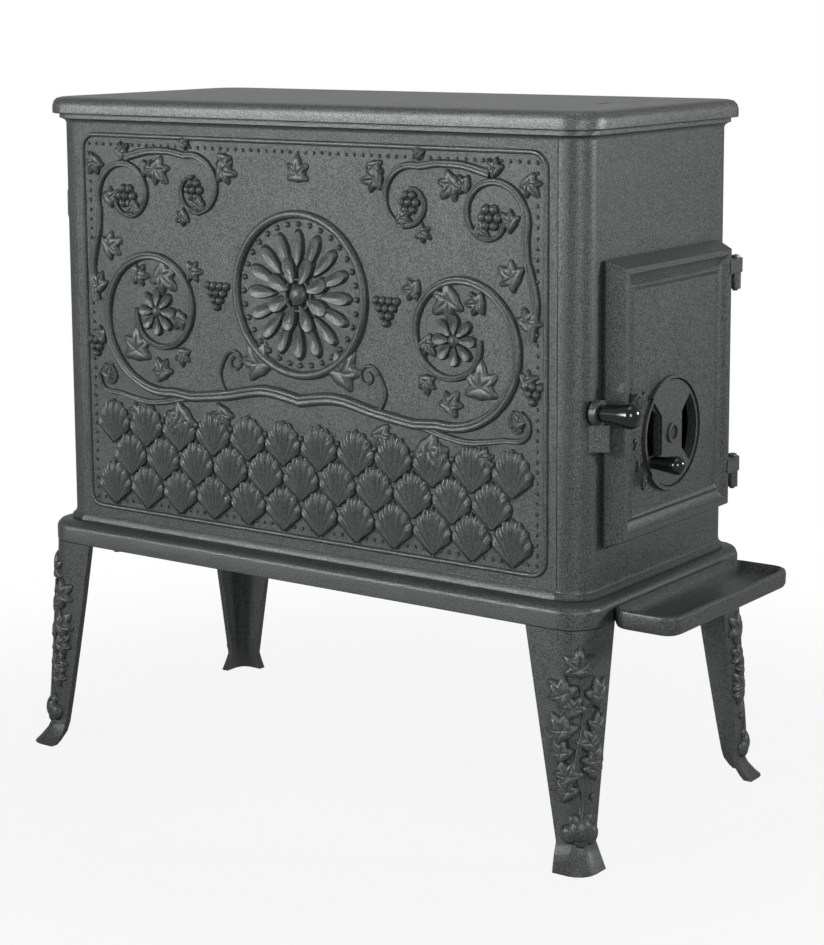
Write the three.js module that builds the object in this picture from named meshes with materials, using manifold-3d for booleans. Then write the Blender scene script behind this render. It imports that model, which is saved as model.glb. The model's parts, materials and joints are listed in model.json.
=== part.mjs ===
// Cast-iron box stove on four sabre legs, in millimetres, +Z up.
// The door is on the short end at -Y, the flue collar at +Y, the long ornamented panels face -X and +X.
// Plates are bolted up like the real stove: a base with four legs, front and rear plates whose returned
// flanges hold the two side panels, a top plate, and four tie rods that clamp it all together.

import * as THREE from 'three';
import { mergeVertices } from 'three/addons/utils/BufferGeometryUtils.js';
import Module from 'manifold-3d';

const wasm = await Module();
wasm.setup();

// ---- Driving dimensions -------------------------------------------------------------------------

const GAP = 0.3; // clearance between castings that touch

const BODY = { halfX: 142, halfY: 325, radius: 24, wall: 6, bottom: 247.9, top: 677.7 };
const TOP = { halfX: 154.5, halfY: 337.5, radius: 33, seat: 678, edge: 683, surface: 700 };
const BASE = { halfX: 162.5, halfY: 340, radius: 33, rim: 225, ceiling: 237, surface: 247.6 };
const SEAM = { front: -298, rear: 300, groove: 0.3 }; // where side panels meet front and rear plates
const LAP = { depth: 6, reach: 12, back: 14 }; // strip cast behind each seam

const LEG = { top: 224.7, ankle: 24, longTop: 62.5, longAnkle: 29, shortTop: 57, shortAnkle: 24 };
const LEG_BOLT = { x: 134, y: 306, hole: 4.5, shank: 4, head: 7.5 };
const TIE_ROD = { x: 122, y: 272, radius: 4, hole: 4.5, bottom: 212, top: 692 };

const SHELF = { halfX: 119, depth: 70, radius: 17, bottom: 222, rim: 241, floor: 229.5 };
const SHELF_LUG = { x: 60, half: 9, boltY: -324, bottom: 217, hole: 3.4, shank: 3, head: 5.8 };
const COLLAR = { bore: 64, outer: 70, flange: 88, z: 580, flangeThick: 7, end: 381, boltX: 79 };

const MOUTH = { halfX: 92, halfZ: 116.5, z: 428.5, radius: 14 };
const DOOR = { halfX: 111, halfZ: 136.5, z: 428.5, radius: 5, depth: 22, fieldFront: 16.6, fieldBack: 11 };
const HINGE = { x: 121, depth: 16, knuckle: 5.5, pin: 3, hole: 3.35, barrel: 16.5, tops: [530.9, 330.9] };
const LUG = { height: 14, half: 7 };

const PIVOT = { x: -86, z: 430, boss: 8, tab: 9 };
const BOSS = { x: -124.5, z: 425, radius: 12, back: 3, front: 10 };
const LEVER = { front: 27.2, back: 22.8, height: 9 };
const KEEPER = { left: -128, right: -113, bottom: 387, top: 412.4, studX: -121, studZ: 399, stud: 3 };
const STRIP = { along: 14, z: 398, length: 31, height: 11, thick: 2.4, screws: [406.5, 389.5], hole: 2.3 };
const KNOB = { base: 8.3, swell: 12.2, start: 10.4, end: 50.5, bore: 3.4 };

const VALVE = { x: -10.5, z: 390.5, rotor: 51, thick: 3, ring: 55.6, ringInner: 52, lip: 22.2 };
const PORT = { waist: 20, waistHalf: 18, radius: 47, doorAngle: 38, rotorAngle: 44, byKnob: 34 };
const VALVE_KNOB = { reach: 46, angle: 209.6, boss: 6, base: 5.8, swell: 9.2, end: 56, bore: 2.9 };

// Cast ornament on the side panels, as [along, up] from the middle of the panel's foot.
const FIELD = { along: 1, foot: 256, halfLong: 298, tall: 417, sunk: 0.9 };
const BORDER = { inset: 11, half: 2.8, high: 3, radius: 16 };
const ROSETTE = { up: 256, reach: 80, ring: 4.6, ringHigh: 5.6, boss: 11, bossHigh: 8.6 };
const PETALS = [
  { count: 16, turned: 0, start: 28, end: 66, width: 15.5, high: 5 },
  { count: 8, turned: 0.5, start: 13, end: 40, width: 18, high: 6.2 },
];
const SCROLLS = {
  great: { half: 6.6, thin: 3, high: 6.6, centre: [186, 226], flower: 24 },
  rising: { half: 5, thin: 2.4, high: 5.4, centre: [226, 344], flower: 12 },
  crown: { half: 4.6, thin: 2.2, high: 5, centre: [134, 354], flower: 11 },
};
const SHELLS = { pitch: 45.6, row: 33, foot: 16, tall: 47, half: 28.3, high: 5.6, rows: [12, 11, 12] };
const LEAF = { half: 28, high: 6, lobes: [1, 0.5, 0.86, 0.7, 0.7, 0.86, 0.5] };
const LEAFLET = { half: 20, high: 5.4, lobes: [1, 0.62, 0.72, 0.72, 0.62] };
const SPRIG = { foot: 37, tip: 180, half: 3.2, thin: 1.6, high: 3 };
const SPRIG_LEAF = { half: 16, high: 3.4, lobes: LEAFLET.lobes };

const HOTPLATE = { halfX: 98, halfY: 95, y: -169, thick: 6, ledge: 10, spigot: 5, radius: 12 };
const LINER = { inner: 120.5, outer: 129, halfY: 262, top: 500, ribs: 5 };
const LIP = { halfX: 100, thick: 7, top: 306, slots: 5, pitch: 36, slotHalf: 10, rivetX: 70, rivetZ: 275 };
const FLOOR = { halfX: 116, front: -262, rear: 300, thick: 9, groove: 3, ribs: 7 };
const BAFFLE = { halfX: 128, front: -190, rear: 314, bottom: 500.4, thick: 7 };

// The bounding box is centred on the origin, so the body sits a little behind it.
const SHELF_REACH = BASE.halfY + GAP + SHELF.depth;
const BODY_Y = (SHELF_REACH - COLLAR.end) / 2;

// ---- Finishes -----------------------------------------------------------------------------------

const FINISH = {
  iron: { color: 0x4a4f4d, roughness: 0.55, metalness: 0.55 },
  ironTop: { color: 0x55585a, roughness: 0.5, metalness: 0.55 },
  firebox: { color: 0x2a2b2b, roughness: 0.85, metalness: 0.3 },
  steel: { color: 0x5a5d5e, roughness: 0.4, metalness: 0.8 },
  knob: { color: 0x0c1414, roughness: 0.15, metalness: 0.0 },
  rope: { color: 0x8d8a84, roughness: 0.95, metalness: 0.0 },
};

// ---- Geometry helpers ---------------------------------------------------------------------------

// Turns a shape drawn in the XY plane upright: its Y becomes the stove's Z, its Z points to the front.
const FORWARD = new THREE.Matrix4().makeBasis(
  new THREE.Vector3(1, 0, 0), new THREE.Vector3(0, 0, 1), new THREE.Vector3(0, -1, 0));

/** A closed THREE geometry as a solid that can be joined and cut. */
function solid(geometry) {
  const bare = new THREE.BufferGeometry();
  bare.setAttribute('position', geometry.getAttribute('position'));
  if (geometry.index) bare.setIndex(geometry.index);
  const merged = mergeVertices(bare, 1e-4);
  return new wasm.Manifold(new wasm.Mesh({
    numProp: 3,
    vertProperties: Float32Array.from(merged.getAttribute('position').array),
    triVerts: Uint32Array.from(merged.index.array),
  }));
}

/** A solid back as a THREE geometry. */
function geometryOf(shape) {
  const mesh = shape.getMesh();
  const geometry = new THREE.BufferGeometry();
  geometry.setAttribute('position', new THREE.BufferAttribute(Float32Array.from(mesh.vertProperties), 3));
  geometry.setIndex(new THREE.BufferAttribute(Uint32Array.from(mesh.triVerts), 1));
  return geometry;
}

const join = (first, ...rest) => rest.reduce((sum, shape) => sum.add(shape), first);
const cut = (first, ...rest) => rest.reduce((sum, shape) => sum.subtract(shape), first);

/** Points of a rounded rectangle, counter-clockwise, drawn in by an inset. */
function outline({ halfX, halfY, radius }, inset = 0, steps = 5) {
  const r = Math.max(radius - inset, 0.6);
  const points = [];
  for (let corner = 0; corner < 4; corner += 1) {
    const cx = (halfX - inset - r) * (corner === 0 || corner === 3 ? 1 : -1);
    const cy = (halfY - inset - r) * (corner < 2 ? 1 : -1);
    for (let step = 0; step <= steps; step += 1) {
      const angle = (corner + step / steps) * Math.PI / 2;
      points.push([cx + r * Math.cos(angle), cy + r * Math.sin(angle)]);
    }
  }
  return points;
}

/** Stitches rings of [x, y, z] points into one closed skin; the ends are capped, or joined in a loop. */
function loft(rings, looped = false) {
  const size = rings[0].length;
  const vertices = rings.flat();
  const faces = [];
  const bands = looped ? rings.length : rings.length - 1;
  for (let band = 0; band < bands; band += 1) {
    const low = band * size;
    const high = ((band + 1) % rings.length) * size;
    for (let i = 0; i < size; i += 1) {
      const next = (i + 1) % size;
      faces.push(low + i, low + next, high + next, low + i, high + next, high + i);
    }
  }
  if (!looped) {
    const capStart = THREE.ShapeUtils.triangulateShape(rings[0].map(([x, y]) => new THREE.Vector2(x, y)), []);
    for (const [a, b, c] of capStart) faces.push(a, c, b);
    const last = (rings.length - 1) * size;
    const capEnd = THREE.ShapeUtils.triangulateShape(
      rings[rings.length - 1].map(([x, y]) => new THREE.Vector2(x, y)), []);
    for (const [a, b, c] of capEnd) faces.push(last + a, last + b, last + c);
  }
  const geometry = new THREE.BufferGeometry();
  geometry.setAttribute('position', new THREE.Float32BufferAttribute(vertices.flat(), 3));
  geometry.setIndex(faces);
  return geometry;
}

/** A moulded plate: the rounded rectangle follows a profile of [inset, height] steps. */
function moulded(plan, profile, { looped = false, steps = 5 } = {}) {
  const rings = profile.map(([inset, height]) =>
    outline(plan, inset, steps).map(([x, y]) => [x, y, height]));
  return loft(rings, looped);
}

/** Moves a shape drawn face-up so that its face looks forward, at a depth in front of the front plate. */
function facingForward(geometry, x = 0, z = 0) {
  geometry.applyMatrix4(FORWARD);
  geometry.translate(x, -BODY.halfY, z);
  return geometry;
}

function box(x0, x1, y0, y1, z0, z1) {
  const geometry = new THREE.BoxGeometry(x1 - x0, y1 - y0, z1 - z0);
  geometry.translate((x0 + x1) / 2, (y0 + y1) / 2, (z0 + z1) / 2);
  return solid(geometry);
}

/** A polygon in plan, raised from z0 to z1. */
function prism(points, z0, z1) {
  const shape = new THREE.Shape(points.map(([x, y]) => new THREE.Vector2(x, y)));
  const geometry = new THREE.ExtrudeGeometry(shape, { depth: z1 - z0, bevelEnabled: false });
  geometry.translate(0, 0, z0);
  return geometry;
}

/** A turned piece on the Z axis from a profile of [radius, height] that starts and ends on the axis. */
function turned(profile, segments = 16) {
  return new THREE.LatheGeometry(profile.map(([r, z]) => new THREE.Vector2(r, z)), segments)
    .rotateX(Math.PI / 2);
}

function upright(x, y, radius, z0, z1, segments = 16) {
  const geometry = turned([[0, z0], [radius, z0], [radius, z1], [0, z1]], segments);
  geometry.translate(x, y, 0);
  return solid(geometry);
}

/** A rod or hole pointing forward, between two depths in front of the front plate. */
function forwardRod(x, z, radius, depth0, depth1, segments = 16) {
  const geometry = turned([[0, depth0], [radius, depth0], [radius, depth1], [0, depth1]], segments);
  return solid(facingForward(geometry, x, z));
}

/** A copy of a geometry mirrored into another quarter of the stove, with its faces still pointing out. */
function mirrored(geometry, signX, signY) {
  const copy = geometry.clone();
  copy.applyMatrix4(new THREE.Matrix4().makeScale(signX, signY, 1));
  if (signX * signY < 0) {
    const index = copy.index.array;
    for (let i = 0; i < index.length; i += 3) {
      const swap = index[i];
      index[i] = index[i + 1];
      index[i + 1] = swap;
    }
  }
  return copy;
}

const stove = new THREE.Group();
stove.position.y = BODY_Y;

/** Names a finished piece and adds it to the stove. */
function add(name, shape, finish) {
  const geometry = shape.isBufferGeometry ? shape : geometryOf(shape);
  const material = new THREE.MeshStandardMaterial(FINISH[finish]);
  const mesh = new THREE.Mesh(geometry, material);
  mesh.name = name;
  stove.add(mesh);
}

const CORNERS = [
  { name: 'front_left', x: -1, y: -1 },
  { name: 'front_right', x: 1, y: -1 },
  { name: 'rear_left', x: -1, y: 1 },
  { name: 'rear_right', x: 1, y: 1 },
];

// ---- Ornament -----------------------------------------------------------------------------------
// Motifs are drawn flat as [along, up, out of the face], then laid on the face that carries them.

/** A pad that rises from its rim, just under the face, to one peak that sees the whole rim. */
function pad(rim, peak, height) {
  const points = [...rim.map(([x, y]) => [x, y, -FIELD.sunk]), [...peak, height], [...peak, -FIELD.sunk]];
  const top = rim.length;
  const faces = rim.flatMap((point, i) => {
    const next = (i + 1) % rim.length;
    return [i, next, top, next, i, top + 1];
  });
  return { points, faces };
}

/** A stem with a sharp back and a sunk foot that follows a path and thins out along it. */
function ridge(path, { half: start, thin: end = start, high }, looped = false) {
  const points = [];
  const faces = [];
  const count = path.length;
  path.forEach(([x, y], i) => {
    const before = path[looped ? (i + count - 1) % count : Math.max(i - 1, 0)];
    const after = path[looped ? (i + 1) % count : Math.min(i + 1, count - 1)];
    const along = new THREE.Vector2(after[0] - before[0], after[1] - before[1]).normalize();
    const half = start + (end - start) * i / (count - 1);
    const left = [x - along.y * half, y + along.x * half];
    const right = [x + along.y * half, y - along.x * half];
    points.push([...left, -FIELD.sunk], [...right, -FIELD.sunk], [...right, 0]);
    points.push([x, y, high * (0.4 + 0.6 * half / start)], [...left, 0]);
  });
  const size = 5;
  const bands = looped ? count : count - 1;
  for (let band = 0; band < bands; band += 1) {
    const near = band * size;
    const far = ((band + 1) % count) * size;
    for (let side = 0; side < size; side += 1) {
      const next = (side + 1) % size;
      faces.push(near + side, far + next, near + next, near + side, far + side, far + next);
    }
  }
  if (!looped) {
    const last = (count - 1) * size;
    for (let side = 1; side < size - 1; side += 1) {
      faces.push(0, side, side + 1, last, last + side + 1, last + side);
    }
  }
  return { points, faces };
}

/** A flat motif as a solid on the face that a laying function describes. */
function laid({ points, faces }, lay) {
  const geometry = new THREE.BufferGeometry();
  geometry.setAttribute('position', new THREE.Float32BufferAttribute(points.map(lay).flat(), 3));
  geometry.setIndex(faces);
  return solid(geometry);
}

/** A smooth curve through a few points. */
function bend(points, steps) {
  const curve = new THREE.CatmullRomCurve3(points.map(([x, y]) => new THREE.Vector3(x, y, 0)));
  return curve.getPoints(steps * (points.length - 1)).map(({ x, y }) => [x, y]);
}

/** A spiral that closes in on its centre, counter-clockwise for positive turns. */
function curl([cx, cy], reach, end, fromDegrees, turns, steps) {
  const points = [];
  for (let step = 0; step <= steps; step += 1) {
    const share = step / steps;
    const angle = THREE.MathUtils.degToRad(fromDegrees) + 2 * Math.PI * turns * share;
    const radius = reach * Math.pow(end / reach, Math.pow(share, 1.15));
    points.push([cx + radius * Math.cos(angle), cy + radius * Math.sin(angle)]);
  }
  return points;
}

const polar = ([x, y], radius, angle) => [x + radius * Math.cos(angle), y + radius * Math.sin(angle)];

/** A lobed leaf that grows from a point in a direction. */
function leaf(root, angle, half, { high, lobes }) {
  const middle = polar(root, 0.7 * half, angle);
  const rim = lobes.map((reach, i) => polar(middle, reach * half, angle + (i / lobes.length) * 2 * Math.PI));
  return pad(rim, middle, high);
}

/** Leaves beside a stem at shares of its length, turn and turn about, the first on its left. */
function sprout(path, { half, thin }, shares, kind) {
  const lean = THREE.MathUtils.degToRad(50);
  return shares.map((share, n) => {
    const place = share * (path.length - 1);
    const i = Math.min(Math.floor(place), path.length - 2);
    const from = new THREE.Vector2(...path[i]);
    const to = new THREE.Vector2(...path[i + 1]);
    const along = to.clone().sub(from).angle();
    const side = n % 2 === 0 ? 1 : -1;
    const leafHalf = kind.half * (1 - 0.28 * share);
    const beside = half + (thin - half) * share + 0.16 * leafHalf;
    const root = polar(from.lerp(to, place - i).toArray(), beside, along + side * Math.PI / 2);
    return leaf(root, along + side * lean, leafHalf, kind);
  });
}

/** Points round a circle. */
function circle(centre, radius, count) {
  return Array.from({ length: count }, (_, i) => polar(centre, radius, (2 * Math.PI * i) / count));
}

// ---- Base and legs ------------------------------------------------------------------------------

/** The tray-shaped base: a deep rim with a rolled shoulder round a flat plate, hollow underneath. */
function basePlate() {
  const profile = [
    [10, BASE.ceiling], [8.5, BASE.rim], [1, BASE.rim], [0, BASE.rim + 1], [0, 240],
    [1.2, 243.4], [4.4, 246.3], [10.5, BASE.surface],
  ];
  let plate = solid(moulded(BASE, profile, { steps: 4 }));
  for (const side of [-1, 1]) {
    const { x, half, boltY, hole } = SHELF_LUG;
    const boss = box(side * x - half, side * x + half, boltY - half, boltY + half, 226, 240);
    plate = cut(join(plate, boss), upright(side * x, boltY, hole, 220, 238, 8));
  }
  for (const corner of CORNERS) {
    const rod = upright(corner.x * TIE_ROD.x, corner.y * TIE_ROD.y, TIE_ROD.hole, 230, 260, 8);
    const bolt = upright(corner.x * LEG_BOLT.x, corner.y * LEG_BOLT.y, LEG_BOLT.hole, 230, 245.6, 6);
    plate = cut(plate, rod, bolt);
  }
  return plate;
}

/** How far the leg stands out beyond the base edge: a slight lean, then the sweep of the foot. */
function legLean(z) {
  const lean = 5 * Math.pow(1 - z / BASE.rim, 1.5);
  const sweep = z < 26 ? 16 * Math.pow(1 - z / 26, 1.6) : 0;
  return lean + sweep;
}

/** One cross-section of a leg: a rounded corner of plate, wider along the long side of the stove. */
function legSection(z) {
  const taper = Math.max((z - LEG.ankle) / (LEG.top - LEG.ankle), 0);
  const foot = Math.max(1 - z / LEG.ankle, 0);
  const long = LEG.longAnkle + (LEG.longTop - LEG.longAnkle) * taper + 7 * foot;
  const short = LEG.shortAnkle + (LEG.shortTop - LEG.shortAnkle) * taper + 13 * foot;
  const radius = 14.5 + 16.5 * taper + 5 * foot;
  const thick = 7 + 1.5 * foot;
  const faceX = BASE.halfX - 1 + legLean(z);
  const faceY = BASE.halfY - 1 + 0.8 * legLean(z);
  const arc = (r, steps) => Array.from({ length: steps + 1 }, (_, step) => {
    const angle = (step / steps) * Math.PI / 2;
    return [faceX - radius + r * Math.cos(angle), faceY - radius + r * Math.sin(angle), z];
  });
  return [
    [faceX - thick, faceY - long, z], [faceX, faceY - long, z], ...arc(radius, 4),
    [faceX - short, faceY, z], [faceX - short, faceY - thick, z], ...arc(radius - thick, 2).reverse(),
  ];
}

/** Lays a point of the sprig, [round the corner, height, out], on the leg's rounded outer corner. */
function onLegCorner([round, z, out]) {
  const taper = Math.max((z - LEG.ankle) / (LEG.top - LEG.ankle), 0);
  const radius = 14.5 + 16.5 * taper;
  const faceX = BASE.halfX - 1 + legLean(z);
  const faceY = BASE.halfY - 1 + 0.8 * legLean(z);
  const quarter = radius * Math.PI / 4;
  if (round < -quarter) return [faceX + out, faceY - radius + round + quarter, z];
  if (round > quarter) return [faceX - radius - round + quarter, faceY + out, z];
  const angle = Math.PI / 4 + round / radius;
  const reach = radius + out;
  return [faceX - radius + reach * Math.cos(angle), faceY - radius + reach * Math.sin(angle), z];
}

/** The sprig cast on a leg's corner: a stem with leaves turn and turn about, over a mound at the ankle. */
function sprig() {
  const stem = [[0, SPRIG.foot + 9], [3.5, 66], [-3.5, 100], [3, 140], [0, SPRIG.tip]];
  const leaves = sprout(stem, SPRIG, [0.22, 0.42, 0.62, 0.82], SPRIG_LEAF);
  const mound = pad(circle([0, SPRIG.foot], 9, 5), [0, SPRIG.foot], SPRIG_LEAF.high);
  return [ridge(stem, SPRIG), mound, ...leaves].map((shape) => laid(shape, onLegCorner));
}

/** A leg in the +X +Y quarter, with the flange that bolts up under the base. */
function legGeometry() {
  const levels = [0, 5, 14, LEG.ankle, 55, 105, 165, LEG.top];
  const blade = solid(loft(levels.map(legSection)));
  const webLimit = solid(prism(outline(BASE, 3, 4), 200, LEG.top));
  const web = join(box(146, 156, 290, 334, 206, LEG.top), box(130, 156, 323.5, 334, 206, LEG.top));
  const flangeLimit = solid(prism(outline(BASE, 10.5, 4), 200, BASE.ceiling - GAP));
  const flange = join(
    box(146, 153, 290, 331, 206, 240), box(130, 153, 323.5, 331, 206, 240),
    box(118, 153, 290, 331, 230.7, 240));
  const hole = upright(LEG_BOLT.x, LEG_BOLT.y, LEG_BOLT.hole, 200, 250, 6);
  const casting = join(blade, web.intersect(webLimit), flange.intersect(flangeLimit), ...sprig());
  return geometryOf(cut(casting, hole));
}

/** A hexagon-headed bolt standing upright with its head at the bottom. */
function boltUp(x, y, head, headBottom, headTop, shank, top) {
  return join(upright(x, y, head, headBottom, headTop, 6), upright(x, y, shank, headTop - 1, top, 6));
}

add('base_plate', basePlate(), 'iron');
const legShape = legGeometry();
for (const corner of CORNERS) {
  add(`leg_${corner.name}`, mirrored(legShape, corner.x, corner.y), 'iron');
  const x = corner.x * LEG_BOLT.x;
  const y = corner.y * LEG_BOLT.y;
  add(`leg_bolt_${corner.name}`, boltUp(x, y, LEG_BOLT.head, 225.2, 230.4, LEG_BOLT.shank, 245), 'steel');
}

// ---- Body shell: front plate, rear plate, side panels -------------------------------------------

/** Outside profile of the body wall: foot moulding of bead and cove, flat wall, cove under the top. */
const WALL_PROFILE = [
  [BODY.wall, BODY.bottom], [-4, BODY.bottom], [-4.7, 249.3], [-4.6, 251.2], [-3.1, 252.6],
  [-0.8, 254.6], [0, 257.8], [0, 673], [-1.3, 675.8], [-4.5, BODY.top], [BODY.wall, BODY.top],
];

const wallShell = solid(moulded(BODY, WALL_PROFILE, { looped: true, steps: 5 }));

/** The strips behind both seams of an end plate that the side panels' edges rest against. */
function lapStrips(seamY, toward) {
  const outer = BODY.halfX - BODY.wall;
  const strips = [];
  for (const side of [-1, 1]) {
    const xs = (a, b) => [Math.min(side * a, side * b), Math.max(side * a, side * b)];
    const ys = (a, b) => [Math.min(a, b), Math.max(a, b)];
    const inner = outer - GAP - LAP.depth;
    strips.push(box(...xs(inner, outer - GAP), ...ys(seamY + toward * LAP.reach, seamY - toward * LAP.back),
      BODY.bottom, BODY.top - 4));
    strips.push(box(...xs(inner, outer + 2), ...ys(seamY - toward * 1, seamY - toward * LAP.back),
      BODY.bottom, BODY.top - 4));
  }
  return strips;
}

/** The front plate: rounded corners, door mouth, and two hinge barrels on webs. */
function frontPlate() {
  const end = box(-200, 200, -400, SEAM.front - SEAM.groove, 200, 700);
  let plate = join(wallShell.intersect(end), ...lapStrips(SEAM.front, 1));
  const mouth = facingForward(prism(
    outline({ halfX: MOUTH.halfX, halfY: MOUTH.halfZ, radius: MOUTH.radius }, 0, 3), -20, 20), 0, MOUTH.z);
  plate = cut(plate, solid(mouth));
  const y = -BODY.halfY - HINGE.depth;
  for (const top of HINGE.tops) {
    const bottom = top - HINGE.barrel;
    const web = box(HINGE.x - 3.5, HINGE.x + 3.5, y, -BODY.halfY + 4, bottom + 1, top - 1);
    const barrel = upright(HINGE.x, y, HINGE.knuckle, bottom, top, 12);
    plate = cut(join(plate, web, barrel), upright(HINGE.x, y, HINGE.hole, bottom - 1, top + 1, 8));
  }
  const keeperStud = forwardRod(KEEPER.studX, KEEPER.studZ, KEEPER.stud + 0.4, -30, 20, 8);
  const lipStuds = [-1, 1].map((side) => forwardRod(side * LIP.rivetX, LIP.rivetZ, 3.4, -30, -3, 8));
  return cut(plate, keeperStud, ...lipStuds);
}

/** The rear plate with its flue opening. */
function rearPlate() {
  const end = box(-200, 200, SEAM.rear + SEAM.groove, 400, 200, 700);
  const plate = join(wallShell.intersect(end), ...lapStrips(SEAM.rear, -1));
  const bore = forwardRod(0, COLLAR.z, COLLAR.bore, -700, -600, 18);
  const bolts = [-1, 1].map((side) => forwardRod(side * COLLAR.boltX, COLLAR.z, 3.9, -700, -600, 8));
  return cut(plate, bore, ...bolts);
}

/** The rosette in the middle: two rows of petals round a boss, inside a ring. */
function rosette() {
  const centre = [0, ROSETTE.up];
  const ring = { half: ROSETTE.ring, high: ROSETTE.ringHigh };
  const shapes = [
    ridge(circle(centre, ROSETTE.reach, 24), ring, true),
    pad(circle(centre, ROSETTE.boss, 7), centre, ROSETTE.bossHigh),
  ];
  for (const { count, turned: offset, start, end, width, high } of PETALS) {
    const far = start + 0.72 * (end - start);
    const spread = Math.atan2(width / 2, far);
    for (let i = 0; i < count; i += 1) {
      const turn = (2 * Math.PI * (i + offset)) / count;
      const at = (radius, angle) => polar(centre, radius, turn + angle);
      shapes.push(pad([at(start, 0), at(far, -spread), at(end, 0), at(far, spread)], at(far, 0), high));
    }
  }
  return shapes;
}

/** The vine of the half towards +along: a great scroll round a flower, two small ones, their leaves. */
function scrolls() {
  const { great, rising, crown } = SCROLLS;
  const greatPath = [
    ...bend([[-2, 150], [45, 156], [95, 147], [140, 141]], 1), ...curl(great.centre, 85, 28, -103, 1.3, 15)];
  const risingPath = [[271, 232], [276, 268], [266, 308], ...curl(rising.centre, 42, 15, -22, 1.1, 9)];
  const crownPath = [[226, 384], [196, 391], [166, 392], ...curl(crown.centre, 36, 13, 72, 1.05, 8)];
  const flower = circle(great.centre, great.flower, 12).map(([x, y], i) => {
    const reach = i % 2 === 0 ? 1 : 0.55;
    return [THREE.MathUtils.lerp(great.centre[0], x, reach), THREE.MathUtils.lerp(great.centre[1], y, reach)];
  });
  return [
    ridge(greatPath, great), ridge(risingPath, rising), ridge(crownPath, crown),
    ...sprout(greatPath, great, [0.05, 0.16, 0.28, 0.4, 0.52], LEAF),
    ...sprout(risingPath, rising, [0.12, 0.42], LEAFLET),
    ...sprout(crownPath, crown, [0.1, 0.4], LEAFLET),
    pad(flower, great.centre, great.high),
    pad(circle(rising.centre, rising.flower, 6), rising.centre, rising.high),
    pad(circle(crown.centre, crown.flower, 6), crown.centre, crown.high),
    pad([[92, 264], [106, 226], [120, 264]], [106, 254], great.high),
  ];
}

/** The band of overlapping shells along the foot, each opening upwards from its hinge. */
function shellBand() {
  const { pitch, row, foot, tall, half, high, rows } = SHELLS;
  const shell = (x, y) => {
    const rim = [[x, y]];
    for (const degrees of [32, 68, 112, 148]) {
      const angle = THREE.MathUtils.degToRad(degrees);
      rim.push([x + half * Math.cos(angle), y + tall * Math.sin(angle)]);
    }
    return pad(rim, [x, y + 0.66 * tall], high);
  };
  return rows.flatMap((count, level) =>
    Array.from({ length: count }, (_, i) => shell(pitch * (i - (count - 1) / 2), foot + row * level)));
}

/** All the ornament of a side panel. */
function ornament() {
  const half = scrolls();
  const mirroredHalf = half.map(({ points, faces }) => ({
    points: points.map(([x, y, z]) => [-x, y, z]),
    faces: faces.map((_, i) => faces[i - (i % 3) + [0, 2, 1][i % 3]]),
  }));
  const plan = {
    halfX: FIELD.halfLong - BORDER.inset, halfY: FIELD.tall / 2 - BORDER.inset, radius: BORDER.radius };
  const border = outline(plan, 0, 2).map(([x, y]) => [x, y + FIELD.tall / 2]);
  return [ridge(border, BORDER, true), ...half, ...mirroredHalf, ...rosette(), ...shellBand()];
}

/** A side panel for the +X side: flat plate, sloping ledge at the foot and cove at the head. */
function sidePanel() {
  const face = BODY.halfX;
  const back = face - BODY.wall;
  const section = [
    [back, BODY.bottom], [face + 4, BODY.bottom], [face + 4, 249.6], [face + 0.7, 255], [face, 255.6],
    [face, 673], [face + 1.3, 675.8], [face + 4.5, BODY.top], [back, BODY.top],
  ];
  const geometry = prism(section, -SEAM.rear, -SEAM.front - SEAM.groove);
  geometry.applyMatrix4(FORWARD);
  const onPanel = ([along, up, out]) => [face + out, FIELD.along + along, FIELD.foot + up];
  return wasm.Manifold.union([solid(geometry), ...ornament().map((shape) => laid(shape, onPanel))]);
}

add('front_plate', frontPlate(), 'iron');
add('rear_plate', rearPlate(), 'iron');
const panelShape = geometryOf(sidePanel());
add('side_panel_right', panelShape, 'iron');
add('side_panel_left', mirrored(panelShape, -1, 1), 'iron');

// ---- Top plate, hotplate and tie rods -----------------------------------------------------------

const hotplatePlan = { halfX: HOTPLATE.halfX, halfY: HOTPLATE.halfY, radius: HOTPLATE.radius };

/** The top plate: quarter-round edge over a step, tie-rod bosses below, and a ledge for the hotplate. */
function topPlate() {
  const profile = [
    [24, 690], [23, TOP.seat], [7.3, TOP.seat], [7.3, TOP.edge], [0.8, TOP.edge], [0, TOP.edge + 0.8],
    [0, 690.5], [1.4, 695.5], [4.4, 698.7], [9.5, TOP.surface],
  ];
  let plate = solid(moulded(TOP, profile, { steps: 4 }));
  for (const corner of CORNERS) {
    const x = corner.x * TIE_ROD.x;
    const y = corner.y * TIE_ROD.y;
    plate = join(plate, upright(x, y, 11, 681, 692, 8));
    plate = cut(plate, upright(x, y, TIE_ROD.hole, 676, TIE_ROD.top + 1, 8));
  }
  const recess = prism(outline(hotplatePlan, -GAP, 3), TOP.surface - HOTPLATE.thick - GAP, TOP.surface + 5);
  const hole = prism(outline(hotplatePlan, HOTPLATE.ledge, 2), 670, TOP.surface + 5);
  recess.translate(0, HOTPLATE.y, 0);
  hole.translate(0, HOTPLATE.y, 0);
  return cut(plate, solid(recess), solid(hole));
}

/** The lift-off cooking lid with its lifter slot at the front edge. */
function hotplate() {
  const bottom = TOP.surface - HOTPLATE.thick;
  const profile = [
    [HOTPLATE.ledge + GAP, bottom - HOTPLATE.spigot], [HOTPLATE.ledge + GAP, bottom], [0.5, bottom],
    [0, bottom + 0.5], [0, TOP.surface - 0.9], [0.9, TOP.surface],
  ];
  const lid = moulded(hotplatePlan, profile, { steps: 3 });
  lid.translate(0, HOTPLATE.y, 0);
  const front = HOTPLATE.y - HOTPLATE.halfY;
  return cut(solid(lid), box(-12, 12, front - 2, front + 9, TOP.surface - 3.5, TOP.surface + 2));
}

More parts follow.
